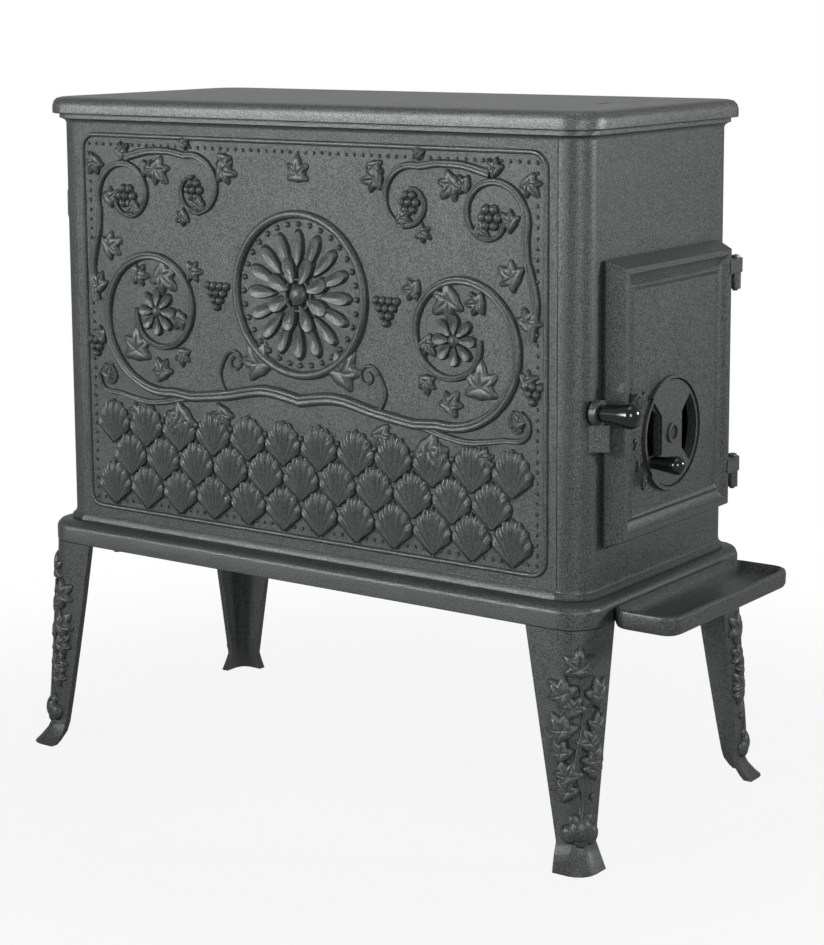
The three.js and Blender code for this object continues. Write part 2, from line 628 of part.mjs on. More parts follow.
add('top_plate', topPlate(), 'ironTop');
add('hotplate', hotplate(), 'ironTop');
for (const corner of CORNERS) {
  const x = corner.x * TIE_ROD.x;
  const y = corner.y * TIE_ROD.y;
  add(`tie_rod_${corner.name}`, upright(x, y, TIE_ROD.radius, TIE_ROD.bottom, TIE_ROD.top, 8), 'steel');
  const nut = cut(upright(x, y, 7.5, 229.2, BASE.ceiling - GAP, 6), upright(x, y, TIE_ROD.hole, 220, 240, 8));
  add(`tie_nut_${corner.name}`, nut, 'steel');
}

// ---- Flue collar --------------------------------------------------------------------------------

/** The flue collar: a flanged spigot turned about the Y axis, with a bead at its open end. */
function flueCollar() {
  const seat = BODY.halfY + GAP;
  const profile = [
    [COLLAR.bore, seat], [COLLAR.flange, seat], [COLLAR.flange, seat + COLLAR.flangeThick],
    [COLLAR.outer + 3, seat + COLLAR.flangeThick], [COLLAR.outer, seat + COLLAR.flangeThick + 3],
    [COLLAR.outer, COLLAR.end - 9], [COLLAR.outer + 2, COLLAR.end - 7], [COLLAR.outer + 2, COLLAR.end],
    [COLLAR.bore, COLLAR.end],
  ];
  const points = [...profile, profile[0]].map(([r, y]) => new THREE.Vector2(r, y));
  const ring = new THREE.LatheGeometry(points, 18);
  const placed = solid(ring.translate(0, 0, COLLAR.z));
  const bolts = [-1, 1].map((side) => forwardRod(side * COLLAR.boltX, COLLAR.z, 3.9, -700, -600, 8));
  return cut(placed, ...bolts);
}

/** A bolt whose head lies behind the collar flange and whose shank points forward into the rear plate. */
function collarBolt(x) {
  const seat = BODY.halfY + COLLAR.flangeThick + 2 * GAP;
  const headBack = -(BODY.halfY + seat);
  const head = forwardRod(x, COLLAR.z, 6.6, headBack - 5, headBack, 6);
  const shank = forwardRod(x, COLLAR.z, 3.4, headBack - 1, headBack + 20, 8);
  return join(head, shank);
}

add('flue_collar', flueCollar(), 'iron');
add('collar_bolt_left', collarBolt(-COLLAR.boltX), 'steel');
add('collar_bolt_right', collarBolt(COLLAR.boltX), 'steel');

// ---- Ash shelf ----------------------------------------------------------------------------------

/** The dished ash shelf with a rolled rim, and two lugs that reach under the base. */
function ashShelf() {
  const plan = { halfX: SHELF.halfX, halfY: SHELF.depth / 2, radius: SHELF.radius };
  const profile = [
    [16, SHELF.bottom + 1.5], [5, SHELF.bottom], [2.2, SHELF.bottom + 1.2], [0.4, SHELF.bottom + 4.5],
    [0, SHELF.rim - 4], [0.9, SHELF.rim - 1.2], [3.4, SHELF.rim],
    [7.4, SHELF.rim - 3], [10, SHELF.rim - 6.6], [12.5, SHELF.floor + 2.6], [17, SHELF.floor + 0.9],
    [23, SHELF.floor],
  ];
  const tray = moulded(plan, profile, { steps: 4 });
  tray.translate(0, -SHELF_REACH + SHELF.depth / 2, 0);
  let shelf = solid(tray);
  for (const side of [-1, 1]) {
    const { half, boltY, bottom, hole } = SHELF_LUG;
    const x = side * SHELF_LUG.x;
    const lug = box(x - half, x + half, -360, boltY + 8, bottom, BASE.rim - GAP);
    shelf = cut(join(shelf, lug), upright(x, boltY, hole, 210, 230, 8));
  }
  return shelf;
}

add('ash_shelf', ashShelf(), 'iron');
for (const [name, side] of [['left', -1], ['right', 1]]) {
  const { x, boltY, bottom, head, shank } = SHELF_LUG;
  add(`shelf_bolt_${name}`, boltUp(side * x, boltY, head, bottom - 4.8, bottom - GAP, shank, 237.4), 'steel');
}

// ---- Firebox lining -----------------------------------------------------------------------------

/** A side liner standing on the base: a plate with upright ribs on its fire side. */
function liner() {
  const pitch = (2 * LINER.halfY) / LINER.ribs;
  const plan = [[LINER.outer, -LINER.halfY], [LINER.outer, LINER.halfY], [LINER.inner, LINER.halfY]];
  for (let rib = LINER.ribs - 1; rib >= 0; rib -= 1) {
    const y = -LINER.halfY + rib * pitch;
    plan.push([LINER.inner, y + 0.7 * pitch], [LINER.inner + 3.5, y + 0.62 * pitch]);
    plan.push([LINER.inner + 3.5, y + 0.38 * pitch], [LINER.inner, y + 0.3 * pitch]);
  }
  plan.push([LINER.inner, -LINER.halfY]);
  return prism(plan, BODY.bottom, LINER.top);
}

/** The floor plate: a shallow trough with lengthwise ribs for the ash bed. */
function floorPlate() {
  const low = BODY.bottom;
  const high = low + FLOOR.thick;
  const pitch = (2 * FLOOR.halfX) / FLOOR.ribs;
  const section = [[-FLOOR.halfX, low], [FLOOR.halfX, low], [FLOOR.halfX, high]];
  for (let rib = FLOOR.ribs - 1; rib >= 0; rib -= 1) {
    const x = -FLOOR.halfX + rib * pitch;
    section.push([x + 0.72 * pitch, high], [x + 0.64 * pitch, high - FLOOR.groove]);
    section.push([x + 0.36 * pitch, high - FLOOR.groove], [x + 0.28 * pitch, high]);
  }
  section.push([-FLOOR.halfX, high]);
  const geometry = prism(section, -FLOOR.rear, -FLOOR.front);
  geometry.applyMatrix4(FORWARD);
  return geometry;
}

/** The baffle that makes the smoke travel forward before it reaches the flue, on the liners' tops. */
function baffle() {
  const { halfX, front, rear, bottom, thick } = BAFFLE;
  const plate = box(-halfX, halfX, front, rear, bottom, bottom + thick);
  const rib = box(-halfX, halfX, front, front + 8, bottom, bottom + 16);
  const rodRoom = [-1, 1].map((side) => upright(side * TIE_ROD.x, TIE_ROD.y, 8, 490, 530, 8));
  return cut(join(plate, rib), ...rodRoom);
}

/** The low grid behind the mouth that keeps logs and ash back, riveted to the front plate. */
function logLip() {
  const y = -BODY.halfY + BODY.wall + GAP;
  let lip = box(-LIP.halfX, LIP.halfX, y, y + LIP.thick, BODY.bottom, LIP.top);
  for (let slot = 0; slot < LIP.slots; slot += 1) {
    const x = (slot - (LIP.slots - 1) / 2) * LIP.pitch;
    const room = box(x - LIP.slotHalf, x + LIP.slotHalf, y - 1, y + LIP.thick + 1, LIP.top - 23, LIP.top - 8);
    lip = cut(lip, room);
  }
  return join(lip, ...[-1, 1].map((side) => forwardRod(side * LIP.rivetX, LIP.rivetZ, 3, -8, -3.6, 8)));
}

const linerShape = liner();
add('liner_right', solid(linerShape), 'firebox');
add('liner_left', mirrored(geometryOf(solid(linerShape)), -1, 1), 'firebox');
add('floor_plate', solid(floorPlate()), 'firebox');
add('baffle_plate', baffle(), 'firebox');
add('log_lip', logLip(), 'firebox');

// ---- Door ---------------------------------------------------------------------------------------

const doorPlan = { halfX: DOOR.halfX, halfY: DOOR.halfZ, radius: DOOR.radius };

/** One port of the air valve: a sector whose inner edge is pinched in to a straight waist. */
function port(side, above, below, grow) {
  const from = -THREE.MathUtils.degToRad(below);
  const to = THREE.MathUtils.degToRad(above);
  const radius = PORT.radius + grow;
  const points = [[side * (PORT.waist - grow), -PORT.waistHalf]];
  const steps = 6;
  for (let step = 0; step <= steps; step += 1) {
    const a = from + ((to - from) * step) / steps;
    points.push([side * radius * Math.cos(a), radius * Math.sin(a)]);
  }
  points.push([side * (PORT.waist - grow), PORT.waistHalf]);
  return side > 0 ? points : points.reverse();
}

/** The raised ring round the valve, left open beside the scale. */
function valveRing() {
  const from = THREE.MathUtils.degToRad(-138);
  const to = THREE.MathUtils.degToRad(136);
  const shape = new THREE.Shape();
  shape.absarc(0, 0, VALVE.ring, from, to, false);
  shape.absarc(0, 0, VALVE.ringInner + GAP, to, from, true);
  const geometry = new THREE.ExtrudeGeometry(shape, {
    depth: VALVE.lip - DOOR.fieldFront, bevelEnabled: false, curveSegments: 13 });
  geometry.translate(0, 0, DOOR.fieldFront - 0.5);
  return solid(facingForward(geometry, VALVE.x, VALVE.z));
}

/** The door: a drafted pan with rim, cove, bead and sunk field, a gasket groove behind, lugs and ports. */
function door() {
  const profile = [
    [26, DOOR.fieldBack], [15, 1], [11, 1], [11, 5], [4.2, 5], [4.2, 1], [2.8, 1], [2.8, 3.8],
    [1.4, 4.2], [8.8, 21.2], [9.7, DOOR.depth], [14.5, DOOR.depth], [15.6, 20.4], [19.5, 17.2], [24, 15.8],
    [25.6, 17.6], [28, 18.8], [30.4, 17.8], [31.6, DOOR.fieldFront],
  ];
  let pan = solid(facingForward(moulded(doorPlan, profile, { steps: 2 }), 0, DOOR.z));
  const y = -BODY.halfY - HINGE.depth;
  for (const bottom of HINGE.tops.map((top) => top + GAP)) {
    const lug = join(
      box(98, HINGE.x, y - LUG.half, y + LUG.half, bottom, bottom + LUG.height),
      upright(HINGE.x, y, LUG.half, bottom, bottom + LUG.height, 12));
    pan = cut(join(pan, lug), upright(HINGE.x, y, HINGE.hole, bottom - 1, bottom + LUG.height + 1, 8));
  }
  const pivotBoss = forwardRod(PIVOT.x, PIVOT.z, PIVOT.boss, 13, DOOR.depth + 0.4, 12);
  const gusset = solid(facingForward(prism(
    [[-106, 441.5], [-98, 441.5], [-98, 456], [-101, 456], [-102, 451], [-106, 451]], 12, 21.4)));
  pan = join(pan, pivotBoss, gusset, valveRing());
  pan = cut(pan, forwardRod(PIVOT.x, PIVOT.z, 3.4, 13.5, 30, 8), forwardRod(VALVE.x, VALVE.z, 3.4, 5, 25, 8));
  for (const side of [-1, 1]) {
    const hole = prism(port(side, PORT.doorAngle, PORT.doorAngle, 0), 5, 25);
    pan = cut(pan, solid(facingForward(hole, VALVE.x, VALVE.z)));
  }
  return cut(pan, ...STRIP.screws.map(doorWallHole));
}

// The drafted side wall of the door, as a line from its foot to its front edge.
const WALL = { footX: -DOOR.halfX, footDepth: 1, frontX: -DOOR.halfX + 8.8, frontDepth: 21.2 };
const wallSlope = Math.atan2(WALL.frontX - WALL.footX, WALL.frontDepth - WALL.footDepth);

/** Places a shape drawn on the wall: its Z axis points out of the left wall of the door. */
function onDoorWall(geometry, along, z) {
  const x = WALL.footX + Math.sin(wallSlope) * along;
  const depth = WALL.footDepth + Math.cos(wallSlope) * along;
  geometry.rotateY(-Math.PI / 2);
  geometry.rotateZ(wallSlope);
  geometry.translate(x, -BODY.halfY - depth, z);
  return geometry;
}

function doorWallHole(z) {
  return solid(onDoorWall(turned([[0, -7], [STRIP.hole, -7], [STRIP.hole, 6], [0, 6]], 8), STRIP.along, z));
}

/** The wear strip on the door's left wall, under the latch. */
function wearStrip() {
  const strip = new THREE.BoxGeometry(STRIP.length, STRIP.height, STRIP.thick);
  strip.translate(0, 0, STRIP.thick / 2 + GAP);
  const placed = solid(onDoorWall(strip, STRIP.along, STRIP.z));
  return cut(placed, ...STRIP.screws.map(doorWallHole));
}

function wearStripScrew(z) {
  const profile = [[0, -5.5], [1.9, -5.5], [1.9, 3.1], [3.6, 3.1], [3.2, 4.6], [0, 5]];
  return onDoorWall(turned(profile, 6), STRIP.along, z);
}

/** The rope seal that lies in the door's groove and meets the front plate. */
function gasket() {
  const profile = [
    [10.6, GAP + 0.6], [10, GAP], [5, GAP], [4.4, GAP + 0.6], [4.4, 4.2], [5, 4.7], [10, 4.7], [10.6, 4.2],
  ];
  return facingForward(moulded(doorPlan, profile, { looped: true, steps: 2 }), 0, DOOR.z);
}

/** A hinge pin with a button head, standing in a barrel of the front plate and a lug of the door. */
function hingePin(top) {
  const head = top + LUG.height + 2 * GAP;
  const foot = top - HINGE.barrel - 2;
  const profile = [
    [0, foot], [HINGE.pin - 0.6, foot], [HINGE.pin, foot + 1],
    [HINGE.pin, head], [4.8, head], [4.4, head + 2], [0, head + 3.2],
  ];
  const pin = turned(profile, 8);
  pin.translate(HINGE.x, -BODY.halfY - HINGE.depth, 0);
  return pin;
}

add('door', door(), 'iron');
add('door_gasket', gasket(), 'rope');
add('door_wear_strip', wearStrip(), 'steel');
add('wear_strip_screw_upper', wearStripScrew(STRIP.screws[0]), 'steel');
add('wear_strip_screw_lower', wearStripScrew(STRIP.screws[1]), 'steel');
add('hinge_pin_upper', hingePin(HINGE.tops[0]), 'steel');
add('hinge_pin_lower', hingePin(HINGE.tops[1]), 'steel');

// ---- Air valve ----------------------------------------------------------------------------------

/** A tapered, round-ended knob on the forward axis, swelling towards its end. */
function knobProfile(base, swell, start, end) {
  const length = end - start;
  const profile = [[0, start], [base - 0.6, start], [base, start + 0.8]];
  profile.push([base + 0.55 * (swell - base), start + 0.5 * length]);
  const round = Math.min(swell, 0.24 * length);
  profile.push([swell, end - round]);
  for (let step = 1; step <= 4; step += 1) {
    const a = (step / 4) * Math.PI / 2;
    profile.push([step === 4 ? 0 : swell * Math.cos(a), end - round + round * Math.sin(a)]);
  }
  return profile;
}

const valveAngle = THREE.MathUtils.degToRad(VALVE_KNOB.angle);
const valveKnobX = VALVE.x + VALVE_KNOB.reach * Math.cos(valveAngle);
const valveKnobZ = VALVE.z + VALVE_KNOB.reach * Math.sin(valveAngle);
const rotorBack = DOOR.fieldFront + GAP;
const rotorFront = rotorBack + VALVE.thick;

/** The rotating damper: a round plate with two pinched ports, a hub ring and a boss for its knob. */
function valveRotor() {
  const disc = forwardRod(VALVE.x, VALVE.z, VALVE.rotor, rotorBack, rotorFront, 32);
  const hub = cut(
    forwardRod(VALVE.x, VALVE.z, 10, rotorFront - 1, rotorFront + 2.4, 16),
    forwardRod(VALVE.x, VALVE.z, 6.8, rotorFront, rotorFront + 3, 16));
  const knobBoss = forwardRod(valveKnobX, valveKnobZ, VALVE_KNOB.boss, rotorBack, rotorFront + 1.2, 12);
  let rotor = join(disc, hub);
  for (const [side, below] of [[-1, PORT.byKnob], [1, PORT.rotorAngle]]) {
    const hole = prism(port(side, PORT.rotorAngle, below, 1), 5, 30);
    rotor = cut(rotor, solid(facingForward(hole, VALVE.x, VALVE.z)));
  }
  const rivet = forwardRod(VALVE.x, VALVE.z, 3.4, 5, 40, 8);
  const stud = forwardRod(valveKnobX, valveKnobZ, 2.9, rotorBack + 1, 40, 8);
  return cut(join(rotor, knobBoss), rivet, stud);
}

const rivetProfile = [
  [0, 9.2], [5.5, 9.2], [5.5, 10.7], [3, 10.7], [3, rotorFront + GAP], [5.8, rotorFront + GAP],
  [5.6, rotorFront + 1], [0, rotorFront + 1.2],
];
const valveStudProfile = [[0, rotorBack + 1.3], [2.5, rotorBack + 1.3], [2.5, 42], [0, 42]];
const valveKnobStart = rotorFront + 1.6;
const valveKnobBore = forwardRod(valveKnobX, valveKnobZ, VALVE_KNOB.bore, 0, 42.4, 8);
const valveKnobProfile = knobProfile(VALVE_KNOB.base, VALVE_KNOB.swell, valveKnobStart, VALVE_KNOB.end);
const valveKnobBody = solid(facingForward(turned(valveKnobProfile, 14), valveKnobX, valveKnobZ));

add('air_valve', valveRotor(), 'iron');
add('air_valve_rivet', facingForward(turned(rivetProfile, 8), VALVE.x, VALVE.z), 'steel');
add('air_valve_stud', facingForward(turned(valveStudProfile, 8), valveKnobX, valveKnobZ), 'steel');
add('air_valve_knob', cut(valveKnobBody, valveKnobBore), 'knob');

// ---- Latch --------------------------------------------------------------------------------------

/** The latch lever: a tab on the door's pivot boss, a bar joggled back round the door edge, and a boss. */
function latchLever() {
  const tab = forwardRod(PIVOT.x, PIVOT.z, PIVOT.tab, LEVER.back, LEVER.front, 14);
  const barPlan = [
    [-84, LEVER.back], [-102.4, LEVER.back], [-113.4, 8.4], [-120, 5], [-122, 9.6],
    [-115.9, 10.2], [-106, LEVER.front - 2], [-103, LEVER.front], [-84, LEVER.front],
  ].map(([x, depth]) => [x, -BODY.halfY - depth]);
  const bar = solid(prism(barPlan, BOSS.z - LEVER.height / 2 + 1, BOSS.z + LEVER.height / 2 + 2));
  const boss = forwardRod(BOSS.x, BOSS.z, BOSS.radius, BOSS.back, BOSS.front, 20);
  const pivotHole = forwardRod(PIVOT.x, PIVOT.z, 3.4, 10, 40, 8);
  const studHole = forwardRod(BOSS.x, BOSS.z, 3.4, BOSS.back + 1.5, 40, 8);
  return cut(join(tab, bar, boss), pivotHole, studHole);
}

/** The keeper: a ramped block riveted to the front plate under the lever's boss. */
function latchKeeper() {
  const plan = [
    [KEEPER.left, -2], [KEEPER.left, -16], [KEEPER.right, -16],
    [KEEPER.right, 12.2], [KEEPER.right - 2, 12.6],
  ].map(([x, depth]) => [x, -BODY.halfY - depth]);
  const block = solid(prism(plan.reverse(), KEEPER.bottom, KEEPER.top));
  const bodyRoom = solid(prism(outline(BODY, -GAP, 5), 300, 500));
  const stud = forwardRod(KEEPER.studX, KEEPER.studZ, KEEPER.stud, -12, 5, 8);
  return join(cut(block, bodyRoom), stud);
}

const screwProfile = [
  [0, 14], [3, 14], [3, LEVER.front + GAP], [6.4, LEVER.front + GAP], [6.2, LEVER.front + 1.6],
  [4.6, LEVER.front + 2.8], [0, LEVER.front + 3.1],
];
const knobStudProfile = [[0, BOSS.back + 1.8], [3, BOSS.back + 1.8], [3, 42], [0, 42]];
const latchKnobBody = solid(facingForward(
  turned(knobProfile(KNOB.base, KNOB.swell, KNOB.start, KNOB.end), 16), BOSS.x, BOSS.z));

add('latch_lever', latchLever(), 'iron');
add('latch_pivot_screw', facingForward(turned(screwProfile, 8), PIVOT.x, PIVOT.z), 'steel');
add('latch_knob_stud', facingForward(turned(knobStudProfile, 8), BOSS.x, BOSS.z), 'steel');
add('latch_knob', cut(latchKnobBody, forwardRod(BOSS.x, BOSS.z, KNOB.bore, 0, 42.4, 8)), 'knob');
add('latch_keeper', latchKeeper(), 'iron');

export default stove;
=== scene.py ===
"""Cast-iron box stove on sabre legs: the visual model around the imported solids."""
import json
import logging
import math
from collections.abc import Callable, Iterable, Sequence
from dataclasses import dataclass, field, replace
from enum import Enum

import bmesh
import bpy
from mathutils import Matrix, Vector


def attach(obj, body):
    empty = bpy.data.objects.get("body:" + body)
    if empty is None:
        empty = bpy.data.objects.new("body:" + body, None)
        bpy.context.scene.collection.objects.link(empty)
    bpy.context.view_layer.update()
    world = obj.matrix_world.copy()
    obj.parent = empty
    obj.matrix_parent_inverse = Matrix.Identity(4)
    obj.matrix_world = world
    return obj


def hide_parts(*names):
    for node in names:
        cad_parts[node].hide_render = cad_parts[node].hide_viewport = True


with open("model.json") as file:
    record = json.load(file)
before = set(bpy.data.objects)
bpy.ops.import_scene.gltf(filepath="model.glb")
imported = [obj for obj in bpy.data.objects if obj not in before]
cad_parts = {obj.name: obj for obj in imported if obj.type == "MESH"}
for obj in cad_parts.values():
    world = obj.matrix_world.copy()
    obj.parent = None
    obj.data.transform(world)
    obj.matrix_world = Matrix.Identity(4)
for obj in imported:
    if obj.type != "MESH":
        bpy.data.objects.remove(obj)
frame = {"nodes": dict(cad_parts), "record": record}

LOG = logging.getLogger("box_stove")
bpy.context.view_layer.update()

MM = 0.001
BODY_SHIFT = 14.65  # the stove's body sits this far behind the frame's origin, in mm
BODY_IRON = "cast_iron_body"  # the record slot of the painted castings
SUNK = 0.8  # the underside of relief lies this far below its face, in mm
ORNAMENT_ANGLE = 48.0  # edges of carved relief stay sharp past this angle, in degrees
Spot = tuple[float, float]  # along and up a face, in mm
Flat = tuple[float, float, float]  # along, up and out of a face, in mm
Wrap = Callable[[Flat], Vector]


class Hand(Enum):
    """Which long side of the stove a piece belongs to."""

    LEFT = -1
    RIGHT = 1


class End(Enum):
    """Which end of the stove a piece belongs to."""

    FRONT = -1
    REAR = 1


def place(x: float, y: float, z: float) -> Vector:
    """Turn body-centred millimetres into the frame's metres.

    Args:
        x: across the stove, +X to the hinge side.
        y: along the stove, -Y to the door.
        z: height over the floor.

    Returns:
        The point in the shared frame.
    """
    return Vector((x * MM, (y + BODY_SHIFT) * MM, z * MM))


def hex_to_linear(code: str) -> tuple[float, float, float, float]:
    """Turn an sRGB hex colour into linear values.

    Args:
        code: six hex digits with a leading #.

    Returns:
        Red, green, blue and an alpha of 1.
    """
    channels = [int(code[i:i + 2], 16) / 255 for i in (1, 3, 5)]
    linear = [c / 12.92 if c <= 0.04045 else ((c + 0.055) / 1.055) ** 2.4 for c in channels]
    return (linear[0], linear[1], linear[2], 1.0)


def add_node(tree: bpy.types.NodeTree, kind: str, settings: dict[str | int, object] | None = None,
             links: dict[str | int, bpy.types.NodeSocket] | None = None) -> bpy.types.Node:
    """Add a node with its settings and the links into it.

    Args:
        tree: the tree that takes the node.
        kind: the node's type name.
        settings: attribute names, or input names and numbers, and their values.
        links: input names or numbers and the sockets that feed them.

    Returns:
        The new node.
    """
    node = tree.nodes.new(kind)
    for key, value in (settings or {}).items():
        if hasattr(node, str(key)):
            setattr(node, str(key), value)
        else:
            node.inputs[key].default_value = value
    for key, socket in (links or {}).items():
        tree.links.new(socket, node.inputs[key])
    return node


def put_in_scene(name: str, data: bpy.types.ID) -> bpy.types.Object:
    """Make an object of its data and put it into the scene.

    Args:
        name: the object's name.
        data: its mesh, curve, camera or light.

    Returns:
        The new object.
    """
    obj = bpy.data.objects.new(name, data)
    bpy.context.scene.collection.objects.link(obj)
    return obj


def sees_paper(tree: bpy.types.NodeTree, mirrored: float = 0.3) -> bpy.types.NodeSocket:
    """Add what tells how much of the white paper a ray sees.

    Args:
        tree: the tree that takes the nodes.
        mirrored: how much of it metal and resin mirror, as little as in a studio with dark walls.

    Returns:
        A value that is 1 for the rays of the eye, straight or through glass, and less for mirrored ones.
    """
    rays = add_node(tree, "ShaderNodeLightPath")
    glossy = add_node(tree, "ShaderNodeMath", {"operation": "MULTIPLY", 1: mirrored},
                      {0: rays.outputs["Is Glossy Ray"]})
    seen = rays.outputs["Is Camera Ray"]
    for other in (rays.outputs["Is Transmission Ray"], glossy.outputs["Value"]):
        seen = add_node(tree, "ShaderNodeMath", {"operation": "MAXIMUM"}, {0: seen, 1: other}).outputs["Value"]
    return seen


# ---- Finishes -----------------------------------------------------------------------------------


@dataclass
class Recipe:
    """A material while it is mixed: its tree, its shader and the object's own coordinates."""

    material: bpy.types.Material
    tree: bpy.types.NodeTree
    shader: bpy.types.Node
    output: bpy.types.Node
    point: bpy.types.NodeSocket

    @classmethod
    def start(cls, name: str) -> "Recipe":
        """Begin an empty material.

        Args:
            name: the material's name.

        Returns:
            The recipe, with shader, output and coordinates in place.
        """
        material = bpy.data.materials.new(name)
        material.use_nodes = True
        tree = material.node_tree
        tree.nodes.clear()
        shader = add_node(tree, "ShaderNodeBsdfPrincipled")
        output = add_node(tree, "ShaderNodeOutputMaterial", links={"Surface": shader.outputs["BSDF"]})
        return cls(material, tree, shader, output, add_node(tree, "ShaderNodeTexCoord").outputs["Object"])

    def fix(self, socket: str, value: float | tuple[float, ...]) -> None:
        """Set one of the shader's sockets to a value that is the same all over."""
        self.shader.inputs[socket].default_value = value

    def feed(self, socket: str, source: bpy.types.NodeSocket) -> None:
        """Let a texture drive one of the shader's sockets."""
        self.tree.links.new(source, self.shader.inputs[socket])

    def noise(self, per_metre: float, detail: float, roughness: float = 0.5) -> bpy.types.NodeSocket:
        """Add a noise and return its value.

        Args:
            per_metre: how many of its swells go to a metre.
            detail: how many finer layers it has.
            roughness: how strong the finer layers are.

        Returns:
            The noise, from 0 to 1.
        """
        return add_node(self.tree, "ShaderNodeTexNoise", {"Scale": per_metre, "Detail": detail, "Roughness": roughness},
                        {"Vector": self.point}).outputs["Fac"]

    def ranged(self, value: bpy.types.NodeSocket, low: float, high: float, start: float = 0.0,
               stop: float = 1.0) -> bpy.types.NodeSocket:
        """Map a texture's value to a range.

        Args:
            value: the texture's value.
            low: what the start becomes.
            high: what the stop becomes.
            start: the value where the range begins.
            stop: the value where it ends.

        Returns:
            The mapped value.
        """
        return add_node(self.tree, "ShaderNodeMapRange", {"From Min": start, "From Max": stop, "To Min": low,
                                                          "To Max": high}, {"Value": value}).outputs["Result"]

    def two_tone(self, share: bpy.types.NodeSocket, first: str, second: str) -> bpy.types.NodeSocket:
        """Mix two sRGB colours by a share from 0 to 1 and return the mixed colour."""
        return add_node(self.tree, "ShaderNodeMix", {"data_type": "RGBA", 6: hex_to_linear(first),
                                                     7: hex_to_linear(second)}, {0: share}).outputs[2]

    def scaled(self, colour: str | bpy.types.NodeSocket, factor: bpy.types.NodeSocket) -> bpy.types.NodeSocket:
        """Lighten and darken a colour.

        Args:
            colour: sRGB hex, or the socket that gives it.
            factor: what it is multiplied by.

        Returns:
            The scaled colour.
        """
        node = add_node(self.tree, "ShaderNodeVectorMath", {"operation": "SCALE"}, {"Scale": factor})
        if isinstance(colour, str):
            node.inputs[0].default_value = hex_to_linear(colour)[:3]
        else:
            self.tree.links.new(colour, node.inputs[0])
        return node.outputs["Vector"]

    def bump(self, height: bpy.types.NodeSocket, depth_mm: float, strength: float = 1.0, hollow: bool = False,
             over: bpy.types.NodeSocket | None = None) -> None:
        """Raise the surface by a texture.

        Args:
            height: the texture.
            depth_mm: how far it stands out, in mm.
            strength: how much of it shows.
            hollow: high values lie deep.
            over: the normal under it, the surface's own when left out.
        """
        links = {"Height": height} if over is None else {"Height": height, "Normal": over}
        node = add_node(self.tree, "ShaderNodeBump", {"Strength": strength, "Distance": depth_mm * MM,
                                                      "invert": hollow}, links)
        self.feed("Normal", node.outputs["Normal"])


@dataclass(frozen=True)
class Finish:
    """What every finish has: a name, the record slot that it belongs to and a way to build it."""

    name: str
    slot: str

    def build(self) -> bpy.types.Material:
        """Build the material; each kind of finish says how."""
        raise NotImplementedError


@dataclass(frozen=True)
class PaintedIron(Finish):
    """Sand-cast grey iron under a thin coat of stove paint: pebbled and satin, with painted glints on the grain's peaks
    and painted shade in its pits.
    """

    base: str = "#4a4f4c"
    pale: str = "#4e5350"
    roughness: float = 0.4
    metallic: float = 0.5
    grain_mm: float = 1.25
    grain_depth_mm: float = 0.22
    edge_mm: float = 0.45
    swell_mm: float = 60.0

    def build(self) -> bpy.types.Material:
        """Build the material.

        Returns:
            The finished material.
        """
        mix = Recipe.start(self.name)
        mix.fix("Metallic", self.metallic)
        # Sand grain of about a millimetre, raised by the bump below. The same noise paints the colour lighter on the
        # grain's peaks and darker in its pits: painted glints and painted shade.
        sand = mix.noise(1 / (self.grain_mm * MM), 2.0)
        # Slow swells of a hand-rubbed pattern, so faint that they only keep large faces from looking flat.
        swell = mix.ranged(mix.noise(1 / (self.swell_mm * MM), 2.0), 0.0, 1.0, 0.35, 0.68)
        glint_and_pit_shade = mix.ranged(sand, 0.42, 1.7, 0.34, 0.66)
        mix.feed("Base Color", mix.scaled(mix.two_tone(swell, self.base, self.pale), glint_and_pit_shade))
        mix.feed("Roughness", mix.ranged(sand, self.roughness - 0.06, self.roughness + 0.12))
        # A cast edge is never sharp: its round catches a thin line of light.
        edge = add_node(mix.tree, "ShaderNodeBevel", {"samples": 4, "Radius": self.edge_mm * MM})
        mix.bump(sand, self.grain_depth_mm, over=edge.outputs["Normal"])
        return mix.material


@dataclass(frozen=True)
class SootyIron(Finish):
    """Bare sand-cast iron inside the fire: dull, dark and dusty with grey ash."""

    soot: str = "#1d1c1b"
    ash: str = "#3a3835"
    roughness: float = 0.88
    metallic: float = 0.1
    dust_per_metre: float = 28.0
    dust_depth_mm: float = 0.3

    def build(self) -> bpy.types.Material:
        """Build the material.

        Returns:
            The finished material.
        """
        mix = Recipe.start(self.name)
        mix.fix("Metallic", self.metallic)
        mix.fix("Roughness", self.roughness)
        dust = mix.noise(self.dust_per_metre, 6.0, 0.7)
        mix.feed("Base Color", mix.two_tone(mix.ranged(dust, 0.0, 1.0, 0.45, 0.75), self.soot, self.ash))
        mix.bump(dust, self.dust_depth_mm)
        return mix.material


@dataclass(frozen=True)
class BlackenedSteel(Finish):
    """Turned and blackened steel: darker and smoother than the castings, with fine turning marks."""

    base: str = "#4d5150"
    roughness: float = 0.36
    metallic: float = 0.85
    marks_per_metre: float = 260.0
    marks_depth_mm: float = 0.05

    def build(self) -> bpy.types.Material:
        """Build the material.

        Returns:
            The finished material.
        """
        mix = Recipe.start(self.name)
        mix.fix("Metallic", self.metallic)
        mix.fix("Roughness", self.roughness)
        marks = mix.noise(self.marks_per_metre, 4.0)
        mix.feed("Base Color", mix.scaled(self.base, mix.ranged(marks, 0.7, 1.25)))
        mix.bump(marks, self.marks_depth_mm, 0.6)
        return mix.material


